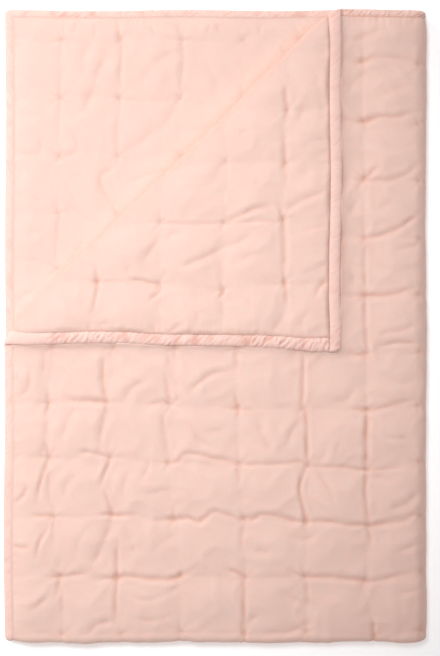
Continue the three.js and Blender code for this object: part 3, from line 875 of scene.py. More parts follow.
def face_relief(u, v, half, grid, ties, creases):
    """Heights of a shown face, and its painted shade from 0 to 1: in troughs, crease lines,
    gathers and along the seam.
    """
    strength, seed = grid["strength"], grid["seed"]
    px, py = to_marks(*lay_up(u, v, half))
    pillows, crown = pillow_relief(px, py, grid, ties)
    strayed_x = px + CREASE_WANDER * noise(px, py, size=16, seed=seed + 20)
    strayed_y = py + CREASE_WANDER * noise(px, py, size=16, seed=seed + 21)
    drawn, lines = crease_relief(strayed_x, strayed_y, creases)
    sunk = pillows + strength * drawn
    relief = sunk + crown + WRINKLE_STRENGTH * strength * wrinkle_relief(px, py, seed + 10)
    relief = relief + FACE_LIFT * fade_in(u, v, LIFT_FADE)
    puckers = rim_puckers(u, v, seed + 30)
    # Painted shade: darker in deep troughs and gathers, along the line of sharp creases, and along the
    # seam.
    depth = np.clip(-(sunk + GATHER_SHADE * puckers) / FULL_DEPTH, 0, 1)
    painted_shade = DEPTH_SHADE * depth**1.5 + LINE_SHADE * lines + seam_shade(u, v, px, py, seed + 40)
    return relief * fade_in(u, v, RELIEF_FADE) + puckers, painted_shade


def front_height(u, v):
    """Height of the front face: the top of the pile, its two rolled folds and its underside."""
    half = plain_half(u, v)
    relief, painted_shade = face_relief(u, v, half, TOP_GRID, TOP_TIES, TOP_CREASES)
    around_side = ease((u - SIDE_MIDDLE) / (SIDE_BEND_LENGTH / 2))
    around_end = np.clip((v - END_BEND_START) / END_BEND_LENGTH, 0, 1)
    under = around_side * (1 - around_end)
    relief = relief * (1 - SIDE_STRETCH * ease((u - SIDE_BEND_START) / (SIDE_BEND_LENGTH / 2)))
    relief = relief - SIDE_PINCH * bell(u - SIDE_MIDDLE, SIDE_PINCH_WIDTH)

    px, py = to_pixels(*lay_up(u, v, half))
    beside = nearest_on_path(px, py, FLAP_OUTLINE)[0]
    hidden = (px < FLAP_RIGHT) & (py < np.interp(px, *flap_lower_edge))
    bank = np.exp(-beside / np.where(hidden, FLAP_BANK_UNDER, FLAP_BANK_WIDTH))
    at_lower = ease((py - FLAP_LOWER_FROM) / EDGE_FADE)
    at_right = ease((px - FLAP_RIGHT_FROM) / EDGE_FADE)
    relief = relief + (FLAP_BANK + FLAP_BANK_BELOW * at_lower) * bank
    # Painted contact shadow along the turned corner's edges, stronger along its right edge.
    painted_shade = painted_shade + (CONTACT_SHADE + CONTACT_SHADE_RIGHT * at_right) * bell(beside, CONTACT_WIDTH)

    past_end = ease((v - END_MIDDLE) / (END_BEND_LENGTH / 2))
    shown = ease((crease_distance(u, v) + CHANGE_BAND / 2) / CHANGE_BAND)
    shown = shown * (u < SIDE_BEND_END) * (v < END_BEND_END) * (1 - around_side) * (1 - past_end)
    height = keep_above(half + np.where(shown > 0, relief * shown, 0))
    return height * (1 - under) + HALF_PITCH * under, np.clip(painted_shade, 0, 1) * shown


def back_height(u, v):
    """Height of the back face, which shows on the turned corner and on the leaf below it."""
    half = plain_half(u, v)
    flap, flap_shade = face_relief(u, v, -half, FLAP_GRID, FLAP_TIES, FLAP_CREASES)
    under, under_shade = face_relief(u, v, -half, UNDER_GRID, UNDER_TIES, UNDER_CREASES)
    distance = crease_distance(u, v)
    beside = crease_distance(u, FLAT_LENGTH - v)
    on_flap = ease((CHANGE_BAND / 2 - distance) / CHANGE_BAND)
    on_flap = on_flap * (v < END_BEND_START) * (u < SIDE_BEND_START)
    on_under = ease((BELOW_SHOWN - beside) / BELOW_FADE)
    on_under = on_under * (v > END_BEND_END) * (u < SIDE_BEND_START)
    bank = CREASE_BANK * np.exp(-np.clip(-beside, 0, None) / CREASE_BANK_WIDTH)
    pinch = 1 - CREASE_PINCH * bell(distance, CREASE_PINCH_WIDTH)
    height = (half + np.where(on_flap > 0, flap * on_flap, 0)) * pinch
    height = keep_above(height + np.where(on_under > 0, (under + bank) * on_under, 0))
    # Painted shade: it dims the lit crest of the turned fold and darkens the leaf below where the fold
    # touches it.
    flap_shade = flap_shade + FOLD_SHADE * bell(distance + CREASE_SHADE_SHIFT, FOLD_SHADE_WIDTH)
    under_shade = under_shade + BESIDE_SHADE * bell(beside + CREASE_SHADE_SHIFT, BESIDE_SHADE_WIDTH)
    return height, np.clip(flap_shade * on_flap + under_shade * on_under, 0, 1)


# %% A grid with fans in its hidden blocks
BLOCK = 12  # cells along one side of a block


def pattern_lines(length):
    """Where the grid's lines cross one side of the pattern, a whole number of blocks."""
    blocks = math.ceil((length - 2 * CLOTH_INSET) / (STEP * BLOCK))
    return np.linspace(CLOTH_INSET, length - CLOTH_INSET, blocks * BLOCK + 1)


def grid_faces(columns, fine, rim_fine):
    """Faces of a grid that is columns points wide. fine says which blocks keep every cell, and
    rim_fine which blocks keep every point on the pattern's rim."""
    faces = []
    for bj, bi in zip(*np.nonzero(fine)):
        j, i = np.mgrid[bj * BLOCK : (bj + 1) * BLOCK, bi * BLOCK : (bi + 1) * BLOCK]
        at = (j * columns + i).ravel()
        faces.extend(np.stack([at, at + columns, at + columns + 1, at + 1], 1).tolist())
    for bj, bi in zip(*np.nonzero(~fine)):
        faces.extend(block_fan(columns, fine, rim_fine, bi, bj))
    return faces


def block_fan(columns, fine, rim_fine, bi, bj):
    """One hidden block as triangles around its centre, with its neighbours' points on its sides."""
    i0, j0, i1, j1 = bi * BLOCK, bj * BLOCK, (bi + 1) * BLOCK, (bj + 1) * BLOCK
    sides = (
        ((i0, j0), (i0, j1), (bi - 1, bj)),
        ((i0, j1), (i1, j1), (bi, bj + 1)),
        ((i1, j1), (i1, j0), (bi + 1, bj)),
        ((i1, j0), (i0, j0), (bi, bj - 1)),
    )
    ring = []
    for (ia, ja), (ib, jb), (ni, nj) in sides:
        inside = 0 <= ni < fine.shape[1] and 0 <= nj < fine.shape[0]
        split = fine[nj, ni] if inside else rim_fine[bj, bi]
        count = BLOCK if split else 1
        for k in range(count):
            i = ia + (ib - ia) * k // count
            j = ja + (jb - ja) * k // count
            ring.append(j * columns + i)
    centre = (j0 + BLOCK // 2) * columns + i0 + BLOCK // 2
    return [[centre, ring[k], ring[(k + 1) % len(ring)]] for k in range(len(ring))]


def rim_ring(columns, rows, rim_fine):
    """Points around the rim, in order, as many as the blocks there use."""
    last_i, last_j = columns - 1, rows - 1
    walk = [(0, j) for j in range(last_j)] + [(i, last_j) for i in range(last_i)]
    walk += [(last_i, j) for j in range(last_j, 0, -1)] + [(i, 0) for i in range(last_i, 0, -1)]
    ring = []
    for place, (i, j) in enumerate(walk):
        before = walk[place - 1]
        after = walk[(place + 1) % len(walk)]
        blocks = []
        for oi, oj in (before, after):
            ci, cj = min(i, oi), min(j, oj)
            bi = min(ci // BLOCK, rim_fine.shape[1] - 1)
            bj = min(cj // BLOCK, rim_fine.shape[0] - 1)
            blocks.append(rim_fine[bj, bi])
        if any(blocks) or (i % BLOCK == 0 and j % BLOCK == 0):
            ring.append(j * columns + i)
    return ring


# %% A mesh object from arrays


def new_object(name, points, faces, uv, painted_shade):
    """A smooth object. points are in millimetres in the pile and uv in metres on the pattern, one
    for each point. The last argument says how much painted shade each point takes, from 0 to 1:
    the material mixes in a darker colour there as shade in creases, seams and contacts."""
    mesh = bpy.data.meshes.new(name)
    places = (np.asarray(points) + origin_shift) / 1000
    places[:, 2] = np.maximum(places[:, 2], 0)
    mesh.from_pydata(places.tolist(), [], faces)
    layer = mesh.uv_layers.new(name="pattern")
    index = np.empty(len(mesh.loops), int)
    mesh.loops.foreach_get("vertex_index", index)
    layer.data.foreach_set("uv", np.asarray(uv, float)[index].ravel())
    depth = mesh.attributes.new("painted_shade", "FLOAT", "POINT")
    depth.data.foreach_set("value", np.asarray(painted_shade, float))
    mesh.shade_smooth()
    mesh.validate()
    obj = bpy.data.objects.new(name, mesh)
    bpy.context.scene.collection.objects.link(obj)
    return obj


def triangle_count(obj):
    """How many triangles an object's mesh makes."""
    obj.data.calc_loop_triangles()
    return len(obj.data.loop_triangles)


# %% The front and the back half of the cloth
lines_u = pattern_lines(FLAT_WIDTH)
lines_v = pattern_lines(FLAT_LENGTH)
grid_u, grid_v = np.meshgrid(lines_u, lines_v)
middle_u = lines_u[BLOCK // 2 :: BLOCK]
middle_v = lines_v[BLOCK // 2 :: BLOCK]
block_u, block_v = np.meshgrid(middle_u, middle_v)
block_crease = crease_distance(block_u, block_v)
under_crease = crease_distance(block_u, FLAT_LENGTH - block_v)
HALF_BLOCK = STEP * BLOCK / 2
CORNER_MARGIN = HALF_BLOCK * math.sqrt(2)
HIDDEN_TO = 556.0  # the turned corner lies over the cloth up to here
PAST_CREASE = 60  # the fine grid runs on this far past the crease's two ends
FACE_GAP = 0.1  # half the gap between the two halves, in the middle of the wadding

front_fine = (block_u < SIDE_BEND_END + HALF_BLOCK) & (block_v < END_BEND_END + HALF_BLOCK)
front_fine &= block_crease > -CORNER_BEND_HALF - CORNER_MARGIN
under_flap = (block_u < HIDDEN_TO - HALF_BLOCK) & (block_v < HIDDEN_TO - HALF_BLOCK)
front_fine &= ~(under_flap & (block_crease > CORNER_BEND_HALF + CORNER_MARGIN))
front_fine |= np.abs(block_v - END_MIDDLE) < HALF_BLOCK + 5
on_corner = block_crease < CORNER_BEND_HALF + CORNER_MARGIN
on_corner &= block_v < CREASE_ALONG_LEFT + PAST_CREASE
on_below = under_crease < BELOW_SHOWN + CORNER_MARGIN
on_below &= block_v > FLAT_LENGTH - CREASE_ALONG_LEFT - PAST_CREASE
back_fine = on_corner | on_below


def cloth_half(name, side, height, fine):
    """One half of the wadded cloth: its face, the middle of the wadding and the rim."""
    rows, columns = grid_u.shape
    coarse = np.zeros_like(fine)
    outer = grid_faces(columns, fine, fine)
    inner = grid_faces(columns, coarse, fine)
    count = rows * columns
    faces = [face if side > 0 else face[::-1] for face in outer]
    faces += [[k + count for k in (face[::-1] if side > 0 else face)] for face in inner]
    ring = rim_ring(columns, rows, fine)
    for a, b in zip(ring, ring[1:] + ring[:1]):
        wall = [b, a, a + count, b + count]
        faces.append(wall if side > 0 else wall[::-1])
    used = np.unique(np.concatenate([np.asarray(face) for face in faces]))
    new_index = np.full(2 * count, -1)
    new_index[used] = np.arange(len(used))
    u = np.concatenate([grid_u.ravel(), grid_u.ravel()])[used]
    v = np.concatenate([grid_v.ravel(), grid_v.ravel()])[used]
    thick, painted_shade = height(u, v)
    w = np.where(used < count, side * thick, side * FACE_GAP)
    points = np.stack(lay_up(u, v, w), 1)
    faces = [[int(new_index[k]) for k in face] for face in faces]
    obj = new_object(name, points, faces, np.stack([u, v], 1) / 1000, painted_shade)
    print(name, "triangles:", triangle_count(obj))
    return obj, (u, v, used < count)


front_cloth, front_points = cloth_half("front_cloth", 1, front_height, front_fine)
back_cloth, back_points = cloth_half("back_cloth", -1, back_height, back_fine)

# %% [markdown]
# The binding
#
# A padded strip closes the four edges of the cloth. Each strip is a soft tube, and at most of its
# ends it is cut at 45 degrees for the corner. At the turned corner the end strip runs over the
# side strip, as it does in the photograph. The seam has gathered the strips, so slanting puckers
# run across them. A plain curve with a bevel couldn't hold these puckers, so we build the tube
# point by point.

# %% The shape of a strip
SECTION_POINTS = 28
BINDING_STEP = 1.6
SECTION_POWER = 2.1  # 2 makes an ellipse, more makes a boxier tube
STRIP_SPARE = 0.3  # a strip is this much narrower than its place
MITRE_GAP = -0.1  # below zero, so the two strips of a mitred corner touch
BUTT_BACK = 2.0  # how far a butted end reaches under the strip that runs over it
OVERSHOOT = 5.5  # how far that strip runs past the corner
SOFT_END = 8.0  # length over which its end is rounded off
CORNER_ROUND = 11.0
PUCKER_PITCH = 9.5
PUCKER_SLANT = 0.5
PUCKER_DRIFT = 8
PUCKER_HEIGHT = 1.9
SIDEWAYS_SHARE = 0.5  # share of the puckers' height by which they push the edge outwards
SWELL_SHARE = 0.06
BEND_PINCH, BEND_PINCH_WIDTH = 0.2, 34  # a strip is flatter where it goes round the side bend
UNDERSIDE_SHIFT = 30  # moves the weave on the underside of a strip away from that on its top
SEAM_SHADE_POWER = 8  # how close to its inner edge the seam's painted shade stays
# painted shade in the troughs between the puckers
TROUGH_SHADE = 1.2


def pucker(along, across, seed):
    """Rope-like puckers that slant over the binding: rounded ridges between sharp troughs."""
    drift = PUCKER_DRIFT * noise(along, across, size=30, seed=seed)
    place = (along + PUCKER_SLANT * across + drift) / PUCKER_PITCH
    place = place + 0.35 * noise(along, across, size=9, seed=seed + 1)
    rope = np.abs(np.sin(math.pi * place)) ** 0.8 - 0.6
    broad = noise(along, across * 0.4, size=17, seed=seed + 2)
    fine = noise(along + across, across * 0.3, size=5.5, seed=seed + 3)
    return rope * np.clip(0.5 + 1.2 * broad, 0.0, 1.0) + 0.6 * broad + 0.55 * fine


def round_corners(along, across, length, begin):
    """Turns the square corners of the cloth into round ones."""
    to_end = np.minimum(along - begin, length - along)
    da = np.clip(CORNER_ROUND - to_end, 0, CORNER_ROUND)
    db = np.clip(CORNER_ROUND - across, 0, None)
    share = np.maximum(da, db) / np.maximum(np.hypot(da, db), 1e-9)
    share = np.where((da > 0) & (db > 0), share, 1)
    moved = CORNER_ROUND - da * share - to_end
    moved = np.where(da > 0, moved, 0)
    along = along + np.where(along < length / 2, moved, -moved)
    return along, np.where(db > 0, CORNER_ROUND - db * share, across)


def strip_section():
    """The outline of a strip's section, from -1 to 1 across (a) and in height (w)."""
    turn = 2 * math.pi * np.arange(SECTION_POINTS) / SECTION_POINTS
    axes = (np.cos(turn), np.sin(turn))
    return [np.sign(axis) * np.abs(axis) ** (2 / SECTION_POWER) for axis in axes]


def tube_faces(count, flip):
    """Faces of a closed tube with this many steps along its length."""
    n = SECTION_POINTS
    faces = [
        [k * n + s, (k + 1) * n + s, (k + 1) * n + (s + 1) % n, k * n + (s + 1) % n]
        for k in range(count)
        for s in range(n)
    ]
    faces += [list(range(n)), [count * n + s for s in reversed(range(n))]]
    return [face[::-1] if flip else face for face in faces]


def binding_strip(name, length, place, flip, puffed, gathered, seed, start="mitre"):
    """place turns (along, across) into pattern (u, v). Across runs from the edge inwards.
    puffed, in millimetres past the edge, and gathered, the strength of the puckers, are given as
    pairs of (along, value). start says how its first end meets the next strip."""
    section_a, section_w = (axis[None, :] for axis in strip_section())
    half_width = (BINDING_WIDTH - STRIP_SPARE) / 2
    count = round(length / BINDING_STEP)
    share = np.linspace(0, 1, count + 1)[:, None]
    across = half_width * (1 + section_a) + 0 * share
    mitre = across + MITRE_GAP
    begin = -OVERSHOOT if start == "over" else 0.0
    cuts = {"mitre": mitre, "over": 0 * mitre + begin, "butt": 0 * mitre + BINDING_WIDTH - BUTT_BACK}
    along = cuts[start] + (length - mitre - cuts[start]) * share
    strength = np.interp(along, *zip(*gathered))
    puff = np.interp(along, *zip(*puffed))
    ropes = pucker(along, across, seed)
    swell = 1 + SWELL_SHARE * noise(along, across, size=60, seed=seed + 5)
    relief = PUCKER_HEIGHT * strength * ropes
    w = section_w * (BINDING_THICKNESS / 2 * swell + relief * np.abs(section_w))
    if start == "over":
        soft = np.clip((along - begin) / SOFT_END, 0, 1)
        w = w * np.sqrt(np.clip(1 - (1 - soft) ** 2, 0.03, 1))
    outwards = np.maximum(0, -section_a)
    across = across - outwards * (puff + SIDEWAYS_SHARE * relief)
    along, across = round_corners(along, across, length, begin)
    u, v = place(along, across)
    w = w * (1 - BEND_PINCH * bell(u - SIDE_MIDDLE, BEND_PINCH_WIDTH))
    points = np.stack([axis.ravel() for axis in lay_up(u, v, w)], 1)
    uv = np.stack([along.ravel(), across.ravel() + UNDERSIDE_SHIFT * (w.ravel() < 0)], 1) / 1000
    # Painted shade along the strip's inner edge at the seam, and in the troughs between its puckers.
    seam = np.maximum(0, section_a) ** SEAM_SHADE_POWER * (0.1 + 0.9 * np.clip(strength, 0, 1))
    painted_shade = np.clip(0.8 * seam + np.clip(-TROUGH_SHADE * ropes * strength, 0, 0.6), 0, 1)
    obj = new_object(name, points, tube_faces(count, flip), uv, painted_shade.ravel())
    print(name, "triangles:", triangle_count(obj))
    return obj


# %% Four strips, each with its own puff and gathers
near_side = binding_strip(
    "near_side_strip", FLAT_LENGTH, lambda s, a: (a, s), True,
    ((0, 3.0), (35, 4.5), (60, 2.5), (100, 1.0), (150, 0.5)),
    ((0, 1.2), (150, 1.2), (180, 0.6), (380, 0.7), (400, 1.1), (485, 1.0), (510, 0.2), (570, 0.15),
     (620, 0.3), (1080, 0.3), (1120, 0.3)), 400, "butt",
)
far_side = binding_strip(
    "far_side_strip", FLAT_LENGTH, lambda s, a: (FLAT_WIDTH - a, s), False, ((0, 0.5), (1, 0.5)),
    ((0, 0.5), (2000, 0.5)), 420,
)
near_end = binding_strip(
    "near_end_strip", FLAT_WIDTH, lambda s, a: (s, a), False,
    ((0, 1.0), (30, 1.6), (560, 1.6), (600, 0.4)),
    ((0, 0.7), (30, 0.5), (60, 0.3), (540, 0.3), (575, 1.3), (700, 1.2), (1400, 0.6)), 440, "over",
)
far_end = binding_strip(
    "far_end_strip", FLAT_WIDTH, lambda s, a: (s, FLAT_LENGTH - a), True, ((0, 2.6), (1, 2.6)),
    ((0, 0.3), (60, 0.4), (100, 0.7), (600, 0.7), (1400, 0.5)), 460,
)

# %% [markdown]
# Colours and materials
#
# Colours are written as on screen and turned to linear light by one function. The cloth is a
# matt cotton: a faint mottle, a warmer, darker colour painted in creases, seams and contacts as
# shade, and a fine weave in the bump.
# The weave could be laid on by a box projection, but it follows the pattern instead, so it turns
# with the cloth where the corner is folded over.

# %% Colours and nodes


def linear(hex_colour):
    """A colour written as on screen, as the linear light that nodes take."""
    channels = [int(hex_colour[k : k + 2], 16) / 255 for k in (1, 3, 5)]
    curve = [c / 12.92 if c <= 0.04045 else ((c + 0.055) / 1.055) ** 2.4 for c in channels]
    return (*curve, 1.0)


def add_node(tree, kind, inputs=None, **settings):
    """A node with its settings made and its inputs linked or set, by name or by number."""
    node = tree.nodes.new(kind)
    for name, value in settings.items():
        setattr(node, name, value)
    for name, value in (inputs or {}).items():
        if isinstance(value, bpy.types.NodeSocket):
            tree.links.new(value, node.inputs[name])
        else:
            node.inputs[name].default_value = value
    return node


# %% Cotton
MIX_FACTOR, MIX_FROM, MIX_TO, MIX_RESULT = 0, 6, 7, 2  # sockets of a Mix node set to colours
MOTTLE_SCALE = 28.0  # patches of about 35 mm
FUZZ_SCALE = 420.0  # bumps of about 2 mm
CLOTH_WEAVE = 260.0  # a wave repeats every 0.314 / scale metres, which is 1.2 mm here
THREAD_WEAVE = 900.0  # and 0.35 mm here
FUZZ_HEIGHT = 0.0008  # metres
WEAVE_HEIGHT = 0.0003


def cotton(name, light, deep, painted_shade_colour, roughness, weave):
    """Cloth that is mottled from light to deep, and takes a darker colour as painted shade where
    its stored attribute says: in creases, seams and contacts.
    """
    material = bpy.data.materials.new(name)
    material.use_nodes = True
    tree = material.node_tree
    tree.nodes.clear()
    place = add_node(tree, "ShaderNodeTexCoord")
    pattern = add_node(tree, "ShaderNodeUVMap", uv_map="pattern")
    mottle = add_node(
        tree, "ShaderNodeTexNoise",
        {"Vector": place.outputs["Object"], "Scale": MOTTLE_SCALE, "Detail": 3.0, "Roughness": 0.6},
    )
    colour = add_node(
        tree, "ShaderNodeMix",
        {MIX_FACTOR: mottle.outputs["Fac"], MIX_FROM: linear(light), MIX_TO: linear(deep)},
        data_type="RGBA",
    )
    # A stored attribute says how much painted shade each point takes; the darker colour stands in for
    # shade in creases, seams and contacts.
    painted_shade = add_node(tree, "ShaderNodeAttribute", attribute_name="painted_shade")
    painted_shade_mix = add_node(
        tree, "ShaderNodeMix",
        {MIX_FACTOR: painted_shade.outputs["Fac"], MIX_FROM: colour.outputs[MIX_RESULT],
         MIX_TO: linear(painted_shade_colour)},
        data_type="RGBA",
    )
    fuzz = add_node(
        tree, "ShaderNodeTexNoise",
        {"Vector": pattern.outputs["UV"], "Scale": FUZZ_SCALE, "Detail": 4.0, "Roughness": 0.65},
    )
    warp, weft = (
        add_node(
            tree, "ShaderNodeTexWave",
            {"Vector": pattern.outputs["UV"], "Scale": weave, "Distortion": 1.5, "Detail": 1.0},
            bands_direction=direction,
        )
        for direction in ("X", "Y")
    )
    threads = add_node(
        tree, "ShaderNodeMath", {0: warp.outputs["Fac"], 1: weft.outputs["Fac"]}, operation="MAXIMUM",
    )
    soft = add_node(
        tree, "ShaderNodeBump",
        {"Height": fuzz.outputs["Fac"], "Strength": 0.35, "Distance": FUZZ_HEIGHT},
    )
    woven = add_node(
        tree, "ShaderNodeBump",
        {"Height": threads.outputs[0], "Strength": 0.25, "Distance": WEAVE_HEIGHT,
         "Normal": soft.outputs["Normal"]},
    )
    surface = add_node(
        tree, "ShaderNodeBsdfPrincipled",
        {"Base Color": painted_shade_mix.outputs[MIX_RESULT], "Roughness": roughness,
         "Normal": woven.outputs["Normal"], "Specular IOR Level": 0.25,
         "Sheen Weight": 0.15, "Sheen Roughness": 0.5,
         "Subsurface Weight": 0.25, "Subsurface Radius": (1.0, 0.5, 0.4), "Subsurface Scale": 0.004},
    )
    add_node(tree, "ShaderNodeOutputMaterial", {"Surface": surface.outputs["BSDF"]})
    print("Material:", name)
    return material


# The third colour of each cotton is painted shade, mixed in at creases, seams and contacts.
quilted_cotton = cotton("quilted_cotton", "#EAC7BB", "#E7C2B5", "#D79F8B", 0.88, CLOTH_WEAVE)
binding_cotton = cotton("binding_cotton", "#EEC9BE", "#ECC4B9", "#D49787", 0.86, CLOTH_WEAVE)
cotton_thread = cotton("cotton_thread", "#E6BFB2", "#E2B9AB", "#D79F8B", 0.8, THREAD_WEAVE)

for piece in (front_cloth, back_cloth):
    piece.data.materials.append(quilted_cotton)
for piece in (near_side, far_side, near_end, far_end):
    piece.data.materials.append(binding_cotton)

# %% [markdown]
# Thread
#
# The ties are tiny tacks of thread in the dimples, and a running stitch holds the binding. Both
# repeat, so a Geometry Nodes group makes one bowed stitch and sets it on every point it is
# given. The points carry two directions: away from the cloth, and along the stitch. Copies made
# one by one in Python would look the same, but here one change to the group changes them all.

# %% One stitch on many points


def stitch_group(name):
    """A node group that sets a bowed stitch on each point, with a little unevenness in size."""
    group = bpy.data.node_groups.new(name, "GeometryNodeTree")
    group.interface.new_socket("Geometry", in_out="INPUT", socket_type="NodeSocketGeometry")
    for socket, value in (("Length", 0.004), ("Thickness", 0.0006), ("Bow", 0.0006)):
        item = group.interface.new_socket(socket, in_out="INPUT", socket_type="NodeSocketFloat")
        item.default_value = value
    group.interface.new_socket("Seed", in_out="INPUT", socket_type="NodeSocketInt")
    group.interface.new_socket("Material", in_out="INPUT", socket_type="NodeSocketMaterial")
    group.interface.new_socket("Geometry", in_out="OUTPUT", socket_type="NodeSocketGeometry")
    given = add_node(group, "NodeGroupInput")
    result = add_node(group, "NodeGroupOutput")
    back, half, radius = (
        add_node(group, "ShaderNodeMath", {0: given.outputs[socket], 1: share}, operation="MULTIPLY")
        for socket, share in (("Length", -0.5), ("Length", 0.5), ("Thickness", 0.5))
    )
    start = add_node(group, "ShaderNodeCombineXYZ", {"X": back.outputs[0]})
    middle = add_node(group, "ShaderNodeCombineXYZ", {"Z": given.outputs["Bow"]})
    end = add_node(group, "ShaderNodeCombineXYZ", {"X": half.outputs[0]})
    curve = add_node(
        group, "GeometryNodeCurveQuadraticBezier",
        {"Resolution": 4, "Start": start.outputs[0], "Middle": middle.outputs[0],
         "End": end.outputs[0]},
    )
    profile = add_node(group, "GeometryNodeCurvePrimitiveCircle",
                       {"Resolution": 5, "Radius": radius.outputs[0]})
    tube = add_node(
        group, "GeometryNodeCurveToMesh",
        {"Curve": curve.outputs[0], "Profile Curve": profile.outputs[0], "Fill Caps": True},
    )
    outward, along = (
        add_node(group, "GeometryNodeInputNamedAttribute", {"Name": carried}, data_type="FLOAT_VECTOR")
        for carried in ("outward", "along")
    )
    stand = add_node(group, "FunctionNodeAlignRotationToVector",
                     {"Vector": outward.outputs[0]}, axis="Z")
    turn = add_node(
        group, "FunctionNodeAlignRotationToVector",
        {"Rotation": stand.outputs[0], "Vector": along.outputs[0]}, axis="X", pivot_axis="Z",
    )
    size = add_node(
        group, "FunctionNodeRandomValue",
        {"Min": (0.8, 0.9, 0.9), "Max": (1.2, 1.1, 1.1), "Seed": given.outputs["Seed"]},
        data_type="FLOAT_VECTOR",
    )
    placed = add_node(
        group, "GeometryNodeInstanceOnPoints",
        {"Points": given.outputs["Geometry"], "Instance": tube.outputs[0],
         "Rotation": turn.outputs[0], "Scale": size.outputs[0]},
    )
    real = add_node(group, "GeometryNodeRealizeInstances", {"Geometry": placed.outputs[0]})
    coloured = add_node(
        group, "GeometryNodeSetMaterial",
        {"Geometry": real.outputs[0], "Material": given.outputs["Material"]},
    )
    group.links.new(coloured.outputs[0], result.inputs[0])
    return group


stitches = stitch_group("stitch_on_points")
print("Nodes that make a stitch:", len(stitches.nodes))

# %% Stitches on points, turned into a plain mesh
LEAST_THREAD_HEIGHT = 1.0  # keeps the lowest stitches off the floor


def thread_piece(name, points, outward, along, **inputs):
    """Plain mesh of stitches at points (millimetres, in the pile)."""
    places = np.asarray(points) + origin_shift
    places[:, 2] = np.maximum(places[:, 2], LEAST_THREAD_HEIGHT)
    mesh = bpy.data.meshes.new(name + "_points")
    mesh.from_pydata((places / 1000).tolist(), [], [])
    for attribute, values in (("outward", outward), ("along", along)):
        layer = mesh.attributes.new(attribute, "FLOAT_VECTOR", "POINT")
        layer.data.foreach_set("vector", np.asarray(values, float).ravel())
    source = bpy.data.objects.new(name + "_points", mesh)
    bpy.context.scene.collection.objects.link(source)
    modifier = source.modifiers.new("Stitches", "NODES")
    modifier.node_group = stitches
    for item in stitches.interface.items_tree:
        if item.in_out == "INPUT" and item.name in inputs:
            modifier[item.identifier] = inputs[item.name]
    bpy.context.view_layer.update()
    graph = bpy.context.evaluated_depsgraph_get()
    made = bpy.data.meshes.new_from_object(source.evaluated_get(graph))
    bpy.data.objects.remove(source)
    bpy.data.meshes.remove(mesh)
    obj = bpy.data.objects.new(name, made)
    bpy.context.scene.collection.objects.link(obj)
    if not made.materials:
        made.materials.append(inputs["Material"])
    print(name, "stitches:", len(points), "triangles:", triangle_count(obj))
    return obj


# %% The face of the cloth at any place on the pattern
PROBE_STEP = 1.5  # far enough to smooth over the finest wrinkles


def surface_frame(u, v, height, side):
    """Place on a face of the cloth, and the directions outward, of growing u and of growing v."""

    def on_face(u, v):
        return np.stack(lay_up(u, v, side * height(u, v)[0]), -1)

    here = on_face(u, v)
    right = on_face(u + PROBE_STEP, v) - here
    down = on_face(u, v + PROBE_STEP) - here
    outward = np.cross(down, right) * side
    axes = (outward, right, down)
    return here, *(axis / np.linalg.norm(axis, axis=-1, keepdims=True) for axis in axes)


def pattern_place(pixels, u, v, side, where):
    """The pattern places of cloth points that stand nearest to given pixels."""
    px, py = to_marks(*lay_up(u[where], v[where], side * plain_half(u[where], v[where])))
    found = [np.argmin((px - a) ** 2 + (py - b) ** 2) for a, b in pixels]
    return u[where][found], v[where][found]


# %% Tacks in the dimples
TACK_ANGLES = (0.6, 2.2)  # the two threads of a tack cross, in radians
TACK_TWIST = 0.4
TACK_LIFT = 0.2
OFF_CREASE = 9  # no tack is looked for this close to the crease
CORNER_REACH = 700  # the turned corner lies within this length of the near end
tie_points, tie_outward, tie_along = [], [], []
faces_with_ties = (
    (TOP_TIES, front_points, 1, front_height,
     lambda u, v: (crease_distance(u, v) > OFF_CREASE) & (u < SIDE_BEND_END) & (v < END_BEND_END)),
    (FLAP_TIES, back_points, -1, back_height,
     lambda u, v: (crease_distance(u, v) < -OFF_CREASE) & (v < CORNER_REACH)),
    (UNDER_TIES, back_points, -1, back_height,
     lambda u, v: (v > END_BEND_END) & (u < SIDE_BEND_START)),
)
tack_random = np.random.default_rng(7)
for ties, (u, v, on_face), side, height, region in faces_with_ties:
    at_u, at_v = pattern_place(ties.values(), u, v, side, on_face & region(u, v))
    here, outward, right, down = surface_frame(at_u, at_v, height, side)
    for turned in TACK_ANGLES:
        angle = turned + tack_random.uniform(-TACK_TWIST, TACK_TWIST, len(here))[:, None]
        tie_points.append(here + TACK_LIFT * outward)
        tie_outward.append(outward)
        tie_along.append(np.cos(angle) * right + np.sin(angle) * down)
ties_piece = thread_piece(
    "tie_tacks", np.vstack(tie_points), np.vstack(tie_outward), np.vstack(tie_along),
    Length=0.0032, Thickness=0.0005, Bow=0.0006, Seed=3, Material=cotton_thread,
)

# %% Running stitch along the seams of the binding
STITCH_PITCH = 5.0
SEAM_EDGE = BINDING_WIDTH + 0.4  # the stitch runs just inside the binding
CORNER_SPARE = 3  # and stops this far short of the corners
seam_points, seam_outward, seam_along = [], [], []
edges = ((FLAT_LENGTH, FLAT_WIDTH, True), (FLAT_WIDTH, FLAT_LENGTH, False))
for side, height in ((1, front_height), (-1, back_height)):
    for length, other, sideways in edges:
        for far in (False, True):
            s = np.arange(SEAM_EDGE + CORNER_SPARE, length - SEAM_EDGE - CORNER_SPARE, STITCH_PITCH)
            a = np.full_like(s, other - SEAM_EDGE if far else SEAM_EDGE)
            u, v = (a, s) if sideways else (s, a)
            here, outward, right, down = surface_frame(u, v, height, side)
            seam_points.append(here)
            seam_outward.append(outward)
            seam_along.append(down if sideways else right)
seam_piece = thread_piece(
    "seam_stitches", np.vstack(seam_points), np.vstack(seam_outward), np.vstack(seam_along),
    Length=0.0034, Thickness=0.0006, Bow=0.0007, Seed=5, Material=cotton_thread,
)

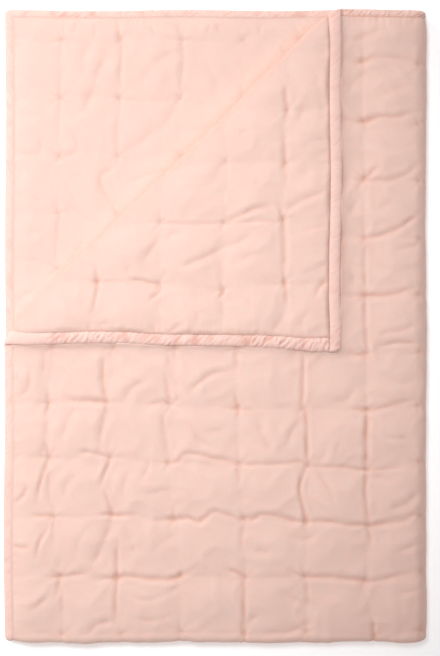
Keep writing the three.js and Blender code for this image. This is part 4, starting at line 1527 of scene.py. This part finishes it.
# %% [markdown]
# Attach the pieces, and hide the CAD parts they stand for
#
# All pieces ride on the one body. The two halves of the cloth stand for one CAD solid, and each
# strip of binding for its own.

# %% Riding, and hiding the CAD parts
pieces = (front_cloth, back_cloth, near_side, far_side, near_end, far_end, ties_piece, seam_piece)
for piece in pieces:
    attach(piece, "root")
for piece in (front_cloth, back_cloth):
    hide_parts("quilted_cloth")
strips = (
    (near_side, "binding_near_side"), (far_side, "binding_far_side"),
    (near_end, "binding_near_end"), (far_end, "binding_far_end"),
)
for piece, node in strips:
    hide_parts(node)

# %% [markdown]
# Floor, light and camera
#
# The photograph was taken from straight above, on white, with one soft light near the upper left:
# the cloth there is almost twice as bright as at the lower right. A sun would light it evenly, so
# a spot hangs over that corner, and a wide window on the same side rakes the relief. The floor
# glows a little, so it stays white and keeps only a faint shadow by the right and lower edges.

# %% Floor
FLOOR_HALF = 40.0  # metres, so its edge is never seen
FLOOR_GLOW = 0.345
floor_mesh = bpy.data.meshes.new("floor")
square = ((-1, -1), (1, -1), (1, 1), (-1, 1))
floor_corners = [(x * FLOOR_HALF, y * FLOOR_HALF, 0.0) for x, y in square]
floor_mesh.from_pydata(floor_corners, [], [[0, 1, 2, 3]])
floor = bpy.data.objects.new("floor", floor_mesh)
bpy.context.scene.collection.objects.link(floor)
paper = bpy.data.materials.new("white_paper")
paper.use_nodes = True
paper_surface = paper.node_tree.nodes["Principled BSDF"]
paper_look = {
    "Base Color": linear("#F4F4F4"), "Roughness": 1.0, "Specular IOR Level": 0.0,
    "Emission Color": (0.97, 1.0, 1.01, 1.0), "Emission Strength": FLOOR_GLOW,
}
for socket, value in paper_look.items():
    paper_surface.inputs[socket].default_value = value
floor_mesh.materials.append(paper)
print("Floor, metres across:", 2 * FLOOR_HALF)

# %% Light
world = bpy.data.worlds.new("white_room")
world.use_nodes = True
world.node_tree.nodes["Background"].inputs["Color"].default_value = (1.11, 1.0, 0.98, 1.0)
world.node_tree.nodes["Background"].inputs["Strength"].default_value = 0.36
bpy.context.scene.world = world


def aimed(name, data, location, target):
    """Hangs a lamp at a place and points it at another."""
    lamp = bpy.data.objects.new(name, data)
    lamp.location = location
    direction = Vector(target) - Vector(location)
    lamp.rotation_euler = direction.to_track_quat("-Z", "Y").to_euler()
    bpy.context.scene.collection.objects.link(lamp)


main_lamp = bpy.data.lights.new("main_lamp", "SPOT")
main_lamp.energy = 236.0
main_lamp.color = (0.9, 1.0, 1.02)
main_lamp.spot_size = math.radians(50.5)
main_lamp.spot_blend = 0.96
main_lamp.shadow_soft_size = 0.35
aimed("main_lamp", main_lamp, (-0.46, 0.60, 2.8), (-0.43, 0.10, 0.0))

side_window = bpy.data.lights.new("side_window", "AREA")
side_window.shape = "SQUARE"
side_window.size = 2.2
side_window.energy = 170.0
side_window.color = (0.98, 1.0, 1.0)
aimed("side_window", side_window, (-3.9, 3.4, 3.5), (0.0, 0.0, 0.0))
print("Watts of lamp and window:", main_lamp.energy, side_window.energy)

# %% Camera
camera_data = bpy.data.cameras.new("camera")
camera_data.lens = CAMERA_LENS
camera_data.sensor_width = CAMERA_SENSOR
camera = bpy.data.objects.new("camera", camera_data)
camera_at = np.array([
    (CAMERA_PLACE[0] - PHOTO_MIDDLE[0]) * MM_PER_PIXEL,
    (PHOTO_MIDDLE[1] - CAMERA_PLACE[1]) * MM_PER_PIXEL,
    PILE_HEIGHT / 2 + CAMERA_HEIGHT,
])
camera.location = ((camera_at + origin_shift) / 1000).tolist()
bpy.context.scene.collection.objects.link(camera)
bpy.context.scene.camera = camera
print("Camera over the pile's middle, mm:", round(CAMERA_HEIGHT))

# %% Standard view of colours
bpy.context.scene.view_settings.view_transform = "Standard"
bpy.context.scene.view_settings.look = "None"
